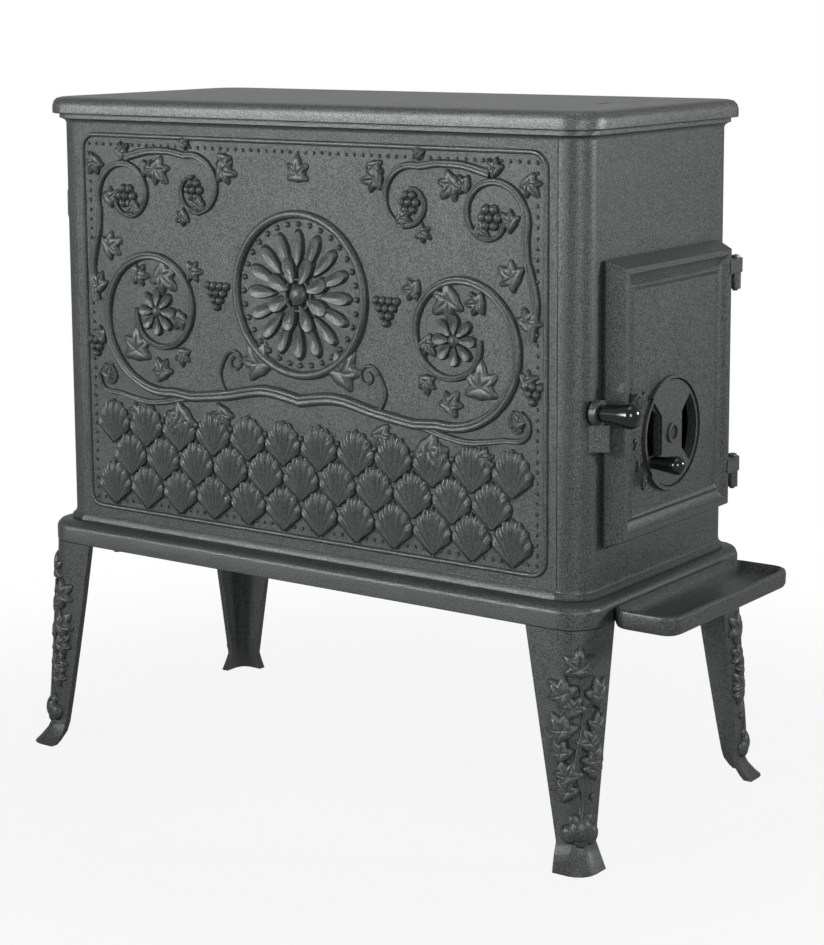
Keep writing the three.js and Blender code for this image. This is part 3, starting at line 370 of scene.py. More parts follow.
@dataclass(frozen=True)
class PhenolicResin(Finish):
    """Moulded and polished phenolic resin: deep green-black with sharp highlights."""

    base: str = "#0a1211"
    ior: float = 1.58
    gloss: tuple[float, float] = (0.1, 0.18)
    haze_per_metre: float = 90.0

    def build(self) -> bpy.types.Material:
        """Build the material.

        Returns:
            The finished material.
        """
        mix = Recipe.start(self.name)
        mix.fix("IOR", self.ior)
        haze = mix.noise(self.haze_per_metre, 3.0)
        mix.feed("Roughness", mix.ranged(haze, *self.gloss))
        mix.feed("Base Color", mix.scaled(self.base, mix.ranged(haze, 0.7, 1.5)))
        return mix.material


@dataclass(frozen=True)
class GlassRope(Finish):
    """Knitted glass-fibre rope, grey from smoke, with painted shade in the grooves between its strands."""

    base: str = "#8a867e"
    roughness: float = 0.95
    strand_mm: float = 2.2
    strand_depth_mm: float = 0.6

    def build(self) -> bpy.types.Material:
        """Build the material.

        Returns:
            The finished material.
        """
        mix = Recipe.start(self.name)
        mix.fix("Roughness", self.roughness)
        weave_and_groove_shade = add_node(mix.tree, "ShaderNodeTexVoronoi", {"Scale": 1 / (self.strand_mm * MM)},
                         {"Vector": mix.point}).outputs["Distance"]
        # The colour darkens where the weave lies deep: painted shade between the strands.
        mix.feed("Base Color", mix.scaled(self.base, mix.ranged(weave_and_groove_shade, 1.1, 0.55)))
        mix.bump(weave_and_groove_shade, self.strand_depth_mm, 0.8, hollow=True)
        return mix.material


@dataclass(frozen=True)
class StudioFloor(Finish):
    """Paper sweep: matt under the stove, plain white to the eye further out."""

    clear_from_m: float = 0.35
    clear_to_m: float = 1.0
    veil: float = 0.9
    paper: float = 0.3
    roughness: float = 0.9

    def build(self) -> bpy.types.Material:
        """Build the material.

        Returns:
            The finished material.
        """
        mix = Recipe.start(self.name)
        mix.fix("Base Color", (self.paper, self.paper, self.paper, 1))
        mix.fix("Roughness", self.roughness)
        reach = add_node(mix.tree, "ShaderNodeVectorMath", {"operation": "LENGTH"}, {0: mix.point})
        far = add_node(mix.tree, "ShaderNodeMapRange", {"From Min": self.clear_from_m, "From Max": self.clear_to_m,
                                                        "To Min": self.veil, "interpolation_type": "SMOOTHSTEP"},
                       {"Value": reach.outputs["Value"]})
        seen = add_node(mix.tree, "ShaderNodeMath", {"operation": "MULTIPLY"},
                        {0: far.outputs["Result"], 1: sees_paper(mix.tree)})
        white = add_node(mix.tree, "ShaderNodeEmission", {"Color": (1, 1, 1, 1), "Strength": 1.0})
        both = add_node(mix.tree, "ShaderNodeMixShader", None,
                        {0: seen.outputs["Value"], 1: mix.shader.outputs["BSDF"], 2: white.outputs["Emission"]})
        mix.tree.links.new(both.outputs["Shader"], mix.output.inputs["Surface"])
        return mix.material


@dataclass
class Palette:
    """Every finish of the stove, built once and found by its record slot."""

    finishes: tuple[Finish, ...] = (
        PaintedIron("cast iron, stove paint", BODY_IRON),
        # The top plate takes the same stove paint mixed lighter: painted light on the face that looks up to the lamps.
        PaintedIron("cast iron, stove paint, top", "cast_iron_top", base="#525654", pale="#575b59"),
        SootyIron("cast iron, sooty", "cast_iron_firebox"),
        BlackenedSteel("blackened steel", "steel_fasteners"),
        PhenolicResin("phenolic resin", "knob_resin"),
        GlassRope("glass-fibre rope", "rope_seal"),
        StudioFloor("paper sweep", "floor"),
    )
    mixed: dict[str, bpy.types.Material] = field(default_factory=dict)

    def of_slot(self, slot: str) -> bpy.types.Material:
        """Find the finish of a record slot, mixed when it is first asked for.

        Args:
            slot: the record slot.

        Returns:
            Its material.
        """
        if slot not in self.mixed:
            self.mixed[slot] = next(f for f in self.finishes if f.slot == slot).build()
        return self.mixed[slot]


# ---- Drafting meshes ----------------------------------------------------------------------------


@dataclass
class Draft:
    """The vertices and faces of a piece while it is drawn, in millimetres."""

    verts: list[Flat] = field(default_factory=list)
    faces: list[tuple[int, ...]] = field(default_factory=list)

    @classmethod
    def taken(cls, mesh: bpy.types.Mesh) -> "Draft":
        """Take over the points and faces of a mesh."""
        return cls([tuple(v.co) for v in mesh.vertices], [tuple(f.vertices) for f in mesh.polygons])

    def skin(self, rings: Sequence[Sequence[Flat]], looped: bool = False) -> "Draft":
        """Stitch rings of equal length into a skin.

        Args:
            rings: closed rings of points.
            looped: join the last ring to the first, instead of closing both ends with a face.

        Returns:
            This draft.
        """
        size, base = len(rings[0]), len(self.verts)
        self.verts.extend(p for ring in rings for p in ring)
        bands = len(rings) if looped else len(rings) - 1
        for band in range(bands):
            low, high = base + band * size, base + (band + 1) % len(rings) * size
            for i in range(size):
                j = (i + 1) % size
                self.faces.append((low + i, low + j, high + j, high + i))
        if not looped:
            self.faces.append(tuple(base + i for i in reversed(range(size))))
            self.faces.append(tuple(base + (len(rings) - 1) * size + i for i in range(size)))
        return self

    def dome(self, rim: Sequence[Spot], height: Callable[[float, int], float], rings: int,
             sunk: float = SUNK, centre: Spot = (0.0, 0.0)) -> "Draft":
        """Raise a closed pad over a rim drawn in polar order, with its underside below the face.

        Args:
            rim: points round the pad, counter-clockwise.
            height: the pad's height for a share of the way to the rim and a rim index.
            rings: steps from the middle to the rim.
            sunk: how far the underside lies below the face.
            centre: the pad's middle.

        Returns:
            This draft.
        """
        base, size = len(self.verts), len(rim)
        cx, cy = centre
        self.verts.append((cx, cy, height(0.0, 0)))
        for ring in range(1, rings + 1):
            t = ring / rings
            self.verts.extend((cx + (x - cx) * t, cy + (y - cy) * t, height(t, i)) for i, (x, y) in enumerate(rim))
        self.verts.extend((x, y, -sunk) for x, y in rim)
        for i in range(size):
            j = (i + 1) % size
            self.faces.append((base, base + 1 + i, base + 1 + j))
            for ring in range(rings):
                low, high = base + 1 + ring * size, base + 1 + (ring + 1) * size
                self.faces.append((low + i, high + i, high + j, low + j))
        under = base + 1 + rings * size
        self.faces.append(tuple(under + i for i in reversed(range(size))))
        return self

    def moved(self, along: float, up: float, out: float = 0.0) -> "Draft":
        """Return a copy of the draft, moved on its face."""
        return Draft([(u + along, w + up, h + out) for u, w, h in self.verts], self.faces)

    def mesh(self, name: str, wrap: Wrap | None = None) -> bpy.types.Mesh:
        """Make a mesh of the draft with its doubles merged and its faces outward.

        Args:
            name: the mesh's name.
            wrap: maps each point into the frame; body millimetres when left out.

        Returns:
            The new mesh.
        """
        shape = bmesh.new()
        lay = wrap or (lambda p: place(*p))
        made = [shape.verts.new(lay(p)) for p in self.verts]
        for face in self.faces:
            if len(set(face)) > 2:
                shape.faces.new([made[i] for i in face])
        bmesh.ops.remove_doubles(shape, verts=shape.verts, dist=1e-6)
        bmesh.ops.recalc_face_normals(shape, faces=shape.faces)
        mesh = bpy.data.meshes.new(name)
        shape.to_mesh(mesh)
        shape.free()
        return mesh


def piece_of(mesh: bpy.types.Mesh, name: str, body: str, palette: Palette, angle_deg: float = 40.0,
             slot: str = BODY_IRON) -> bpy.types.Object:
    """Make a finished piece from a mesh.

    Args:
        mesh: the piece's mesh, already in the frame.
        name: the piece's name.
        body: the body that it rides on.
        palette: the finishes.
        angle_deg: the angle past which an edge stays sharp.
        slot: the record slot that it takes its finish from.

    Returns:
        The object, in the scene.
    """
    mesh.shade_smooth()
    mesh.set_sharp_from_angle(angle=math.radians(angle_deg))
    mesh.materials.clear()
    mesh.materials.append(palette.of_slot(slot))
    obj = put_in_scene(name, mesh)
    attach(obj, body)
    LOG.info("%s: %d faces", name, len(mesh.polygons))
    return obj


def rounded(half_x: float, half_y: float, radius: float, inset: float, steps: int, centre: Spot) -> list[Spot]:
    """Draw a rounded rectangle, counter-clockwise.

    Args:
        half_x: half its width.
        half_y: half its length.
        radius: its corner radius before the inset.
        inset: how far it is drawn in.
        steps: steps in each corner.
        centre: its middle.

    Returns:
        The points of the outline.
    """
    r = max(radius - inset, 0.6)
    points = []
    for corner in range(4):
        cx = centre[0] + (half_x - inset - r) * (1 if corner in (0, 3) else -1)
        cy = centre[1] + (half_y - inset - r) * (1 if corner < 2 else -1)
        for step in range(steps + 1):
            a = (corner + step / steps) * math.pi / 2
            points.append((cx + r * math.cos(a), cy + r * math.sin(a)))
    return points


# ---- Ornament in relief -------------------------------------------------------------------------


@dataclass(frozen=True)
class Stamp:
    """One motif set on a face: where, which way and how large."""

    along: float
    up: float
    turn: float = 0.0
    size: float = 1.0
    lift: float = 1.0


@dataclass
class Motifs:
    """The carver's patterns that the ornament repeats, each one drawn once at full size."""

    leaf_length: float = 60.0
    leaf_height: float = 6.0
    leaf_rim_height: float = 0.9
    leaf_groove: float = 1.5
    leaf_points: int = 40
    # The angle, the reach and the width of each lobe, in radians and as shares of the longest one.
    leaf_lobes: tuple[tuple[float, float, float], ...] = (
        (0.0, 1.0, 0.42), (0.95, 0.82, 0.34), (-0.95, 0.82, 0.34), (1.95, 0.60, 0.36), (-1.95, 0.60, 0.36))
    petal_height: float = 5.0
    petal_rim_height: float = 0.6
    petal_points: int = 24
    fan_spread_deg: float = 64.0
    fan_steps_per_flute: int = 6

    def leaf(self) -> Draft:
        """Draw a five-lobed vine leaf that points along +X from its stalk at the origin.

        Returns:
            The leaf's draft.
        """
        half = self.leaf_length * 0.46
        centre = (half * 0.72, 0.0)
        rim, ridge = [], []
        for i in range(self.leaf_points):
            a = 2 * math.pi * i / self.leaf_points - math.pi
            best, near = 0.34, 1.0
            for at, reach, width in self.leaf_lobes:
                off = math.remainder(a - at, 2 * math.pi)
                swell = reach * math.exp(-(off / width) ** 2)
                best = max(best, 0.46 + 0.54 * swell)
                near = min(near, abs(off) / width)
            rim.append((centre[0] + half * 1.06 * best * math.cos(a), half * best * math.sin(a)))
            ridge.append(near)

        def height(t: float, i: int) -> float:
            """Return the leaf's height: a soft cushion with a groove down each lobe.

            Args:
                t: the share of the way from the middle to the rim.
                i: the rim point that it lies toward.

            Returns:
                The height over the face.
            """
            cushion = self.leaf_height * (0.62 + 0.5 * t - 0.75 * t ** 3)
            groove = self.leaf_groove * math.exp(-(ridge[i] / 0.22) ** 2) * math.sin(math.pi * min(t * 0.9, 1.0))
            return max(cushion - groove, self.leaf_rim_height) if t < 1 else self.leaf_rim_height
        return Draft().dome(rim, height, 6, centre=centre)

    def petal(self, start: float, end: float, width: float) -> Draft:
        """Draw a petal along +X with a groove down its middle.

        Args:
            start: where its root begins.
            end: where its tip ends.
            width: its full width.

        Returns:
            The petal's draft.
        """
        mid, half = (start + end) / 2, (end - start) / 2
        rim = []
        for i in range(self.petal_points):
            a = 2 * math.pi * i / self.petal_points
            x = math.cos(a)
            rim.append((mid + half * x, 0.5 * width * math.sin(a) * (0.82 + 0.3 * x)))

        def height(t: float, i: int) -> float:
            """Return the petal's height: raised edge, hollow middle."""
            return self.petal_height * (0.55 + 0.75 * t * t - 0.55 * t ** 5) if t < 1 else self.petal_rim_height
        return Draft().dome(rim, height, 5, centre=(mid, 0.0))

    @staticmethod
    def berry(radius: float, height: float, sides: int = 10, rings: int = 3) -> Draft:
        """Draw a berry or bead as a low dome.

        Args:
            radius: its radius.
            height: how far it stands out.
            sides: points round its rim.
            rings: steps from its middle to the rim.

        Returns:
            The berry's draft.
        """
        rim = [(radius * math.cos(2 * math.pi * i / sides), radius * math.sin(2 * math.pi * i / sides))
               for i in range(sides)]
        return Draft().dome(rim, lambda t, i: height * math.sqrt(max(1 - (t * 0.985) ** 2, 0.0)), rings, sunk=0.6)

    def fan(self, width: float, tall: float, height: float, flutes: int = 7) -> Draft:
        """Draw a scallop shell that opens upwards from its hinge at the origin.

        Args:
            width: its full width.
            tall: its full height.
            height: how far its flutes stand out.
            flutes: how many flutes it has.

        Returns:
            The shell's draft.
        """
        steps = flutes * self.fan_steps_per_flute
        spread = math.radians(self.fan_spread_deg)
        rim = [(0.0, -1.0)]
        wave = [0.0]
        for i in range(steps + 1):
            f = i / steps
            a = math.pi / 2 - spread + 2 * spread * f
            ripple = math.cos(2 * math.pi * flutes * (f - 0.5 / flutes))
            reach = tall * (0.93 + 0.03 * ripple) * (1 - 0.16 * (2 * f - 1) ** 2)
            rim.append((0.5 * width / math.sin(spread) * math.cos(a) * reach / tall, reach * math.sin(a)))
            wave.append(ripple)

        def relief(t: float, i: int) -> float:
            """Return the shell's height: flutes that grow towards a rolled edge."""
            rise = height * (0.30 + 0.75 * t)
            return (rise + 0.26 * height * wave[i] * t) * (1.0 if t < 0.99 else 0.35)
        return Draft().dome(rim, relief, 7)


def instancing_tree() -> bpy.types.NodeTree:
    """Build the tree that sets one motif on every stamp point.

    Returns:
        The geometry node tree, with the input Motif.
    """
    tree = bpy.data.node_groups.new("stamp motif on points", "GeometryNodeTree")
    face = tree.interface
    face.new_socket("Points", in_out="INPUT", socket_type="NodeSocketGeometry")
    face.new_socket("Motif", in_out="INPUT", socket_type="NodeSocketObject")
    face.new_socket("Relief", in_out="OUTPUT", socket_type="NodeSocketGeometry")
    given = add_node(tree, "NodeGroupInput")
    motif = add_node(tree, "GeometryNodeObjectInfo", {"transform_space": "ORIGINAL"},
                     {"Object": given.outputs["Motif"]})
    turn = add_node(tree, "GeometryNodeInputNamedAttribute", {"data_type": "FLOAT_VECTOR", "Name": "turn"})
    size = add_node(tree, "GeometryNodeInputNamedAttribute", {"data_type": "FLOAT_VECTOR", "Name": "size"})
    rotation = add_node(tree, "FunctionNodeEulerToRotation", None, {0: turn.outputs["Attribute"]})
    stamped = add_node(tree, "GeometryNodeInstanceOnPoints", None, {
        "Points": given.outputs["Points"], "Instance": motif.outputs["Geometry"],
        "Rotation": rotation.outputs["Rotation"], "Scale": size.outputs["Attribute"]})
    real = add_node(tree, "GeometryNodeRealizeInstances", None, {"Geometry": stamped.outputs["Instances"]})
    add_node(tree, "NodeGroupOutput", None, {0: real.outputs["Geometry"]})
    return tree


@dataclass
class Press:
    """Presses motifs into relief by Geometry Nodes and returns their points and faces."""

    tree: bpy.types.NodeTree = field(default_factory=instancing_tree)

    def stamp(self, motif: Draft, stamps: Sequence[Stamp]) -> Draft:
        """Set a motif on every stamp.

        Args:
            motif: the motif's draft, in millimetres.
            stamps: where it goes.

        Returns:
            A draft of all copies, in the face's own millimetres.
        """
        pattern = put_in_scene("motif", motif.mesh("motif", lambda p: Vector(p)))
        cloud = bpy.data.meshes.new("stamps")
        cloud.from_pydata([(s.along, s.up, 0.0) for s in stamps], [], [])
        turn = cloud.attributes.new("turn", "FLOAT_VECTOR", "POINT")
        size = cloud.attributes.new("size", "FLOAT_VECTOR", "POINT")
        for i, s in enumerate(stamps):
            turn.data[i].vector = (0.0, 0.0, s.turn)
            size.data[i].vector = (s.size, s.size, s.lift)
        bed = put_in_scene("stamp bed", cloud)
        modifier = bed.modifiers.new("stamp", "NODES")
        modifier.node_group = self.tree
        modifier[next(item.identifier for item in self.tree.interface.items_tree if item.name == "Motif")] = pattern
        pressed = bpy.data.meshes.new_from_object(bed.evaluated_get(bpy.context.evaluated_depsgraph_get()))
        draft = Draft.taken(pressed)
        for obj in (bed, pattern):
            bpy.data.objects.remove(obj)
        bpy.data.meshes.remove(pressed)
        return draft


def merge(drafts: Iterable[Draft]) -> Draft:
    """Put several drafts into one.

    Args:
        drafts: the drafts to merge.

    Returns:
        One draft that holds them all.
    """
    whole = Draft()
    for draft in drafts:
        base = len(whole.verts)
        whole.verts.extend(draft.verts)
        whole.faces.extend(tuple(base + i for i in face) for face in draft.faces)
    return whole


def flip(draft: Draft) -> Draft:
    """Mirror a draft along its face, with its faces still outward."""
    return Draft([(-u, w, h) for u, w, h in draft.verts], [tuple(reversed(f)) for f in draft.faces])


def vine(path: Sequence[Spot], start: float, end: float, height: float, arc: int = 10) -> Draft:
    """Sweep a half-round stem along a path on a face.

    Args:
        path: the points it follows.
        start: its half width at the start.
        end: its half width at the end.
        height: its height at the start; it falls with the width.
        arc: steps over its round.

    Returns:
        The stem's draft.
    """
    rings = []
    for i, (x, y) in enumerate(path):
        before, after = path[max(i - 1, 0)], path[min(i + 1, len(path) - 1)]
        along = Vector((after[0] - before[0], after[1] - before[1])).normalized()
        side = Vector((-along.y, along.x))
        f = i / (len(path) - 1)
        half = start + (end - start) * f
        tall = height * (0.45 + 0.55 * half / start)
        ring = [(x + side.x * half, y + side.y * half, -SUNK)]
        for step in range(arc + 1):
            a = math.pi * step / arc
            groove = 1 - 0.3 * math.exp(-((a - math.pi / 2) / 0.3) ** 2)
            ring.append((x + side.x * half * math.cos(a), y + side.y * half * math.cos(a),
                         tall * groove * math.sin(a)))
        ring.append((x - side.x * half, y - side.y * half, -SUNK))
        rings.append(ring)
    return Draft().skin(rings)


def curl(centre: Spot, reach: float, end: float, from_deg: float, turns: float, steps: int) -> list[Spot]:
    """Draw a spiral that closes in on its centre.

    Args:
        centre: the spiral's middle.
        reach: its outer radius.
        end: its inner radius.
        from_deg: the angle where it starts.
        turns: how many turns it makes, counter-clockwise when positive.
        steps: how many steps it takes.

    Returns:
        The spiral's points.
    """
    points = []
    for i in range(steps + 1):
        f = i / steps
        a = math.radians(from_deg) + 2 * math.pi * turns * f
        r = reach * (end / reach) ** (f ** 1.15)
        points.append((centre[0] + r * math.cos(a), centre[1] + r * math.sin(a)))
    return points


def bend(points: Sequence[Spot], steps: int = 14) -> list[Spot]:
    """Draw a smooth curve through a few points.

    Args:
        points: the points that it passes.
        steps: steps between each two.

    Returns:
        The curve's points.
    """
    out = []
    padded = [points[0], *points, points[-1]]
    for a, b, c, d in zip(padded, padded[1:], padded[2:], padded[3:]):
        for i in range(steps):
            t = i / steps
            out.append(tuple(
                0.5 * (2 * b[k] + (c[k] - a[k]) * t + (2 * a[k] - 5 * b[k] + 4 * c[k] - d[k]) * t * t
                       + (3 * b[k] - a[k] - 3 * c[k] + d[k]) * t ** 3) for k in (0, 1)))
    out.append(tuple(points[-1]))
    return out


def sprout(route: Sequence[Spot], stem: Spot, shares: Sequence[float], size: float, first: int = 1,
           lean_deg: float = 50.0) -> list[Stamp]:
    """Set leaves beside a stem, turn and turn about.

    Args:
        route: the stem's points, as few as the solids use, so that both set their leaves in the same places.
        stem: the stem's half width at its start and end.
        shares: how far along the route each leaf grows.
        size: the first leaf's scale; later ones are a little smaller.
        first: the side of the first leaf, 1 or -1.
        lean_deg: how far a leaf leans from the stem.

    Returns:
        A stamp for each leaf.
    """
    stamps = []
    for n, share in enumerate(shares):
        at = share * (len(route) - 1)
        i = min(int(at), len(route) - 2)
        (x, y), (x2, y2) = route[i], route[i + 1]
        along = math.atan2(y2 - y, x2 - x)
        side = first if n % 2 == 0 else -first
        scale = size * (1 - 0.28 * share)
        beside = side * (stem[0] + (stem[1] - stem[0]) * share + 4.4 * scale)
        stamps.append(Stamp(x + (x2 - x) * (at - i) - beside * math.sin(along),
                            y + (y2 - y) * (at - i) + beside * math.cos(along),
                            along + side * math.radians(lean_deg), scale, 0.94 + 0.1 * (n % 2)))
    return stamps


def fit(leaves: Iterable[Stamp], room: Callable[[Stamp], float], least: float = 0.34) -> list[Stamp]:
    """Make the leaves smaller that would grow over the edge of their face.

    Args:
        leaves: the leaves as they sprout.
        room: how far a leaf may grow from its stalk, in mm.
        least: the smallest scale.

    Returns:
        The leaves, each one inside its face.
    """
    return [replace(s, size=min(s.size, max(room(s) / Motifs.leaf_length, least))) for s in leaves]


@dataclass(frozen=True)
class Shoot:
    """A stem of the vine: a bend through a few points that ends in a spiral."""

    points: tuple[Spot, ...]
    spiral: tuple[Spot, float, float, float, float]  # centre, outer and inner radius, first angle, turns
    widths: Spot
    height: float
    steps: int

    def path(self) -> list[Spot]:
        """Return the stem's line."""
        return bend(self.points) + curl(*self.spiral, self.steps)

    def route(self, steps: int) -> list[Spot]:
        """Return the stem's line with the few points that the solids use."""
        return [*self.points, *curl(*self.spiral, steps)]

    def stem(self) -> Draft:
        """Sweep the stem."""
        return vine(self.path(), *self.widths, self.height)


@dataclass
class SidePanel:
    """A long side panel with its cast ornament: rosette, vine scrolls and a band of shells."""

    hand: Hand
    face_x: float = 142.0
    wall: float = 6.0
    foot_z: float = 256.0
    bottom: float = 247.9
    top: float = 677.7
    seam_front: float = -297.7
    seam_rear: float = 300.0
    middle_y: float = 1.0
    half_long: float = 298.0
    tall: float = 417.0
    # The ledge at the foot: how far each corner comes out of the face, and its height.
    ledge: tuple[Spot, ...] = ((4.0, 247.9), (4.0, 249.6), (0.7, 255.0), (0.0, 255.8))
    cove: Spot = (4.5, 4.7)  # how far the cove at the head comes out, and how tall it is
    border: float = 11.0
    bead_half: float = 2.6
    bead_corner: float = 16.0
    pearl_inset: float = 9.5
    pearls: tuple[int, int] = (56, 38)  # along the panel and up it
    rosette_up: float = 256.0
    rosette_reach: float = 80.0
    petals: int = 16
    shells_per_row: tuple[int, ...] = (12, 11, 12)
    shell_pitch: float = 45.6
    shell_row: float = 33.0
    shell_foot: float = 16.0
    studs: int = 11
    stud_row: float = 2.9  # in rows of shells over the lowest one
    leaf_clear: float = 4.0  # between a leaf's tip and the border
    berry_pitch: float = 7.6
    great: Shoot = Shoot(((-2, 150), (45, 156), (95, 147), (140, 141)), ((186, 226), 85, 28, -103, 1.3),
                         (6.8, 3.0), 6.8, 90)
    rising: Shoot = Shoot(((271, 232), (276, 268), (266, 308)), ((226, 344), 42, 15, -22, 1.1), (5.2, 2.4), 5.6, 60)
    crown: Shoot = Shoot(((226, 384), (196, 391), (166, 392)), ((134, 354), 36, 13, 72, 1.05), (4.8, 2.2), 5.2, 60)
    tendril: Shoot = Shoot(((95, 147), (104, 166), (97, 186)), ((84, 182), 13, 4, 12, 1.2), (3.0, 1.4), 3.8, 24)
    low: Shoot = Shoot(((140, 141), (196, 130), (242, 136)), ((256, 152), 16, 6, -100, 1.2), (4.0, 1.8), 4.6, 30)

    def wrap(self, p: Flat) -> Vector:
        """Lay a point of the ornament on the panel's face."""
        return place(self.hand.value * (self.face_x + p[2]), self.middle_y + p[0], self.foot_z + p[1])

    def plate(self) -> Draft:
        """Draw the plate: flat wall, sloping ledge at the foot, cove at the head.

        Returns:
            The plate's draft, in body millimetres.
        """
        back, face = self.face_x - self.wall, self.face_x
        out, tall = self.cove
        cove = [(face + out - out * math.cos(a), self.top - tall + tall * math.sin(a))
                for a in (math.pi / 2 * i / 6 for i in range(7))]
        section = [(back, self.bottom), *((face + step, z) for step, z in self.ledge), *cove, (back, self.top)]
        side = self.hand.value
        return Draft().skin([[(side * x, y, z) for x, z in section] for y in (self.seam_front, self.seam_rear)])

    def frame_bead(self) -> Draft:
        """Draw the raised fillet that frames the field.

        Returns:
            The fillet's draft.
        """
        rings = []
        half = self.bead_half
        for inset, height in ((-half, -SUNK), (-half, 0.4), (-half * 0.8, 1.7), (-half * 0.35, 2.6),
                              (half * 0.35, 2.6), (half * 0.8, 1.7), (half, 0.4), (half, -SUNK)):
            outline = rounded(self.half_long - self.border, self.tall / 2 - self.border, self.bead_corner, inset, 8,
                              (0.0, self.tall / 2))
            rings.append([(x, y, height) for x, y in outline])
        return Draft().skin(rings, looped=True)

    def pearl_row(self) -> list[Stamp]:
        """Set a row of pearls inside the fillet.

        Returns:
            A stamp for each pearl.
        """
        inset = self.border + self.pearl_inset
        half_u, half_w = self.half_long - inset, self.tall / 2 - inset
        across, up = self.pearls
        stamps = []
        for i in range(across + 1):
            u = -half_u + 2 * half_u * i / across
            stamps += [Stamp(u, self.tall / 2 + s * half_w) for s in (-1, 1)]
        for i in range(1, up):
            w = -half_w + 2 * half_w * i / up
            stamps += [Stamp(s * half_u, self.tall / 2 + w) for s in (-1, 1)]
        return stamps

    def ring(self, radius: float, half: float, height: float, steps: int = 72) -> Draft:
        """Draw a half-round ring round the rosette's middle.

        Args:
            radius: the ring's radius.
            half: half its width.
            height: how far it stands out.
            steps: how many steps go round it.

        Returns:
            The ring's draft.
        """
        arc = 7
        rings = []
        for k in range(arc + 1):
            a = math.pi * k / arc
            r, h = radius - half * math.cos(a), height * math.sin(a) if 0 < k < arc else -SUNK
            rings.append([(r * math.cos(b), self.rosette_up + r * math.sin(b), h)
                          for b in (2 * math.pi * i / steps for i in range(steps))])
        return Draft().skin(rings, looped=True)

    def rosette(self, press: Press, motifs: Motifs) -> Draft:
        """Draw the rosette: two rows of petals round a boss, inside two rings and a row of pearls.

        Args:
            press: what repeats the motifs.
            motifs: the patterns.

        Returns:
            The rosette's draft.
        """
        up, round_pearls = self.rosette_up, self.rosette_reach - self.pearl_inset
        turn = 2 * math.pi / self.petals
        outer = [Stamp(0, up, i * turn) for i in range(self.petals)]
        inner = [Stamp(0, up, (i + 0.5) * 2 * turn, 1.0, 1.25) for i in range(self.petals // 2)]
        pearls = [Stamp(round_pearls * math.cos(i * turn / 2), up + round_pearls * math.sin(i * turn / 2),
                        0.0, 1.15, 1.2) for i in range(2 * self.petals)]
        return merge([
            press.stamp(motifs.petal(26.0, 66.0, 16.5), outer),
            press.stamp(motifs.petal(10.0, 41.0, 19.0), inner),
            press.stamp(motifs.berry(2.8, 2.8), pearls),
            press.stamp(motifs.berry(11.0, 8.6, 20, 6), [Stamp(0, up)]),
            self.ring(self.rosette_reach, 4.6, 5.8),
            self.ring(15.5, 1.8, 4.6),
        ])

    def scrolls(self, press: Press, motifs: Motifs) -> Draft:
        """Draw the vine of one half: a great scroll, two small ones, their leaves and berries.

        Args:
            press: what repeats the motifs.
            motifs: the patterns.

        Returns:
            The half's draft.
        """
        few_great, few_rising, few_crown = self.great.route(15), self.rising.route(9), self.crown.route(8)
        stems = [shoot.stem() for shoot in (self.great, self.rising, self.crown, self.tendril, self.low)]
        leaves = (sprout(few_great, (6.6, 3.0), (0.05, 0.16, 0.28, 0.4, 0.52), 1.0)
                  + sprout(few_great, (6.6, 3.0), (0.105, 0.22, 0.34, 0.46, 0.6, 0.68, 0.76), 0.66, first=-1)
                  + sprout(few_rising, (5.0, 2.4), (0.12, 0.42), 0.72)
                  + sprout(few_rising, (5.0, 2.4), (0.27, 0.52, 0.66), 0.56)
                  + sprout(few_crown, (4.6, 2.2), (0.1, 0.4), 0.72)
                  + sprout(few_crown, (4.6, 2.2), (0.24, 0.54, 0.68), 0.56, first=-1)
                  + sprout(self.low.path(), self.low.widths, (0.3, 0.58), 0.56, first=-1)
                  + [Stamp(262, 386, -0.9, 0.72), Stamp(0, 362, math.pi / 2, 0.9), Stamp(92, 396, -1.4, 0.5)])
        berries = []
        for shoot, size in ((self.rising, 1.15), (self.crown, 1.05), (self.low, 0.66)):
            cx, cy = shoot.spiral[0]
            berries.append(Stamp(cx, cy, 0, size, size * 1.25))
            apart = self.berry_pitch * size
            berries += [Stamp(cx + apart * math.cos(a), cy + apart * math.sin(a), 0, size, size)
                        for a in (i * math.pi / 3 for i in range(6))]
        berries += self.bunch(106, 258, 4) + self.bunch(273, 190, 3)
        eye = self.great.spiral[0]
        flower = [Stamp(*eye, i * math.pi / 4) for i in range(8)]
        return merge(stems + [press.stamp(motifs.leaf(), fit(leaves, self.room)),
                              press.stamp(motifs.berry(4.4, 5.0, 12, 4), berries),
                              press.stamp(motifs.petal(4.0, 26.0, 13.5), flower),
                              press.stamp(motifs.berry(7.0, 7.0, 16, 5), [Stamp(*eye)])])

    @staticmethod
    def bunch(along: float, up: float, rows: int, pitch: Spot = (8.2, 7.2)) -> list[Stamp]:
        """Set the berries of a hanging bunch, widest at the top.

        Args:
            along: the bunch's middle.
            up: the height of its top row.
            rows: how many rows it has.
            pitch: from berry to berry, across and down.

        Returns:
            A stamp for each berry.
        """
        across, down = pitch
        return [Stamp(along + across * (k - (rows - 1 - row) / 2), up - down * row, 0, 1.05, 1.0 + 0.12 * row)
                for row in range(rows) for k in range(rows - row)]

    def room(self, leaf: Stamp) -> float:
        """Find how far a leaf may grow before it meets the fillet.

        Args:
            leaf: the leaf.

        Returns:
            The room from its stalk to the fillet, in mm.
        """
        right, up = math.cos(leaf.turn), math.sin(leaf.turn)
        clear = self.border + self.leaf_clear
        aside = (self.half_long - clear - leaf.along) / right if right > 0.1 else math.inf
        above = (self.tall - clear - leaf.up) / up if up > 0.1 else math.inf
        return min(aside, above)

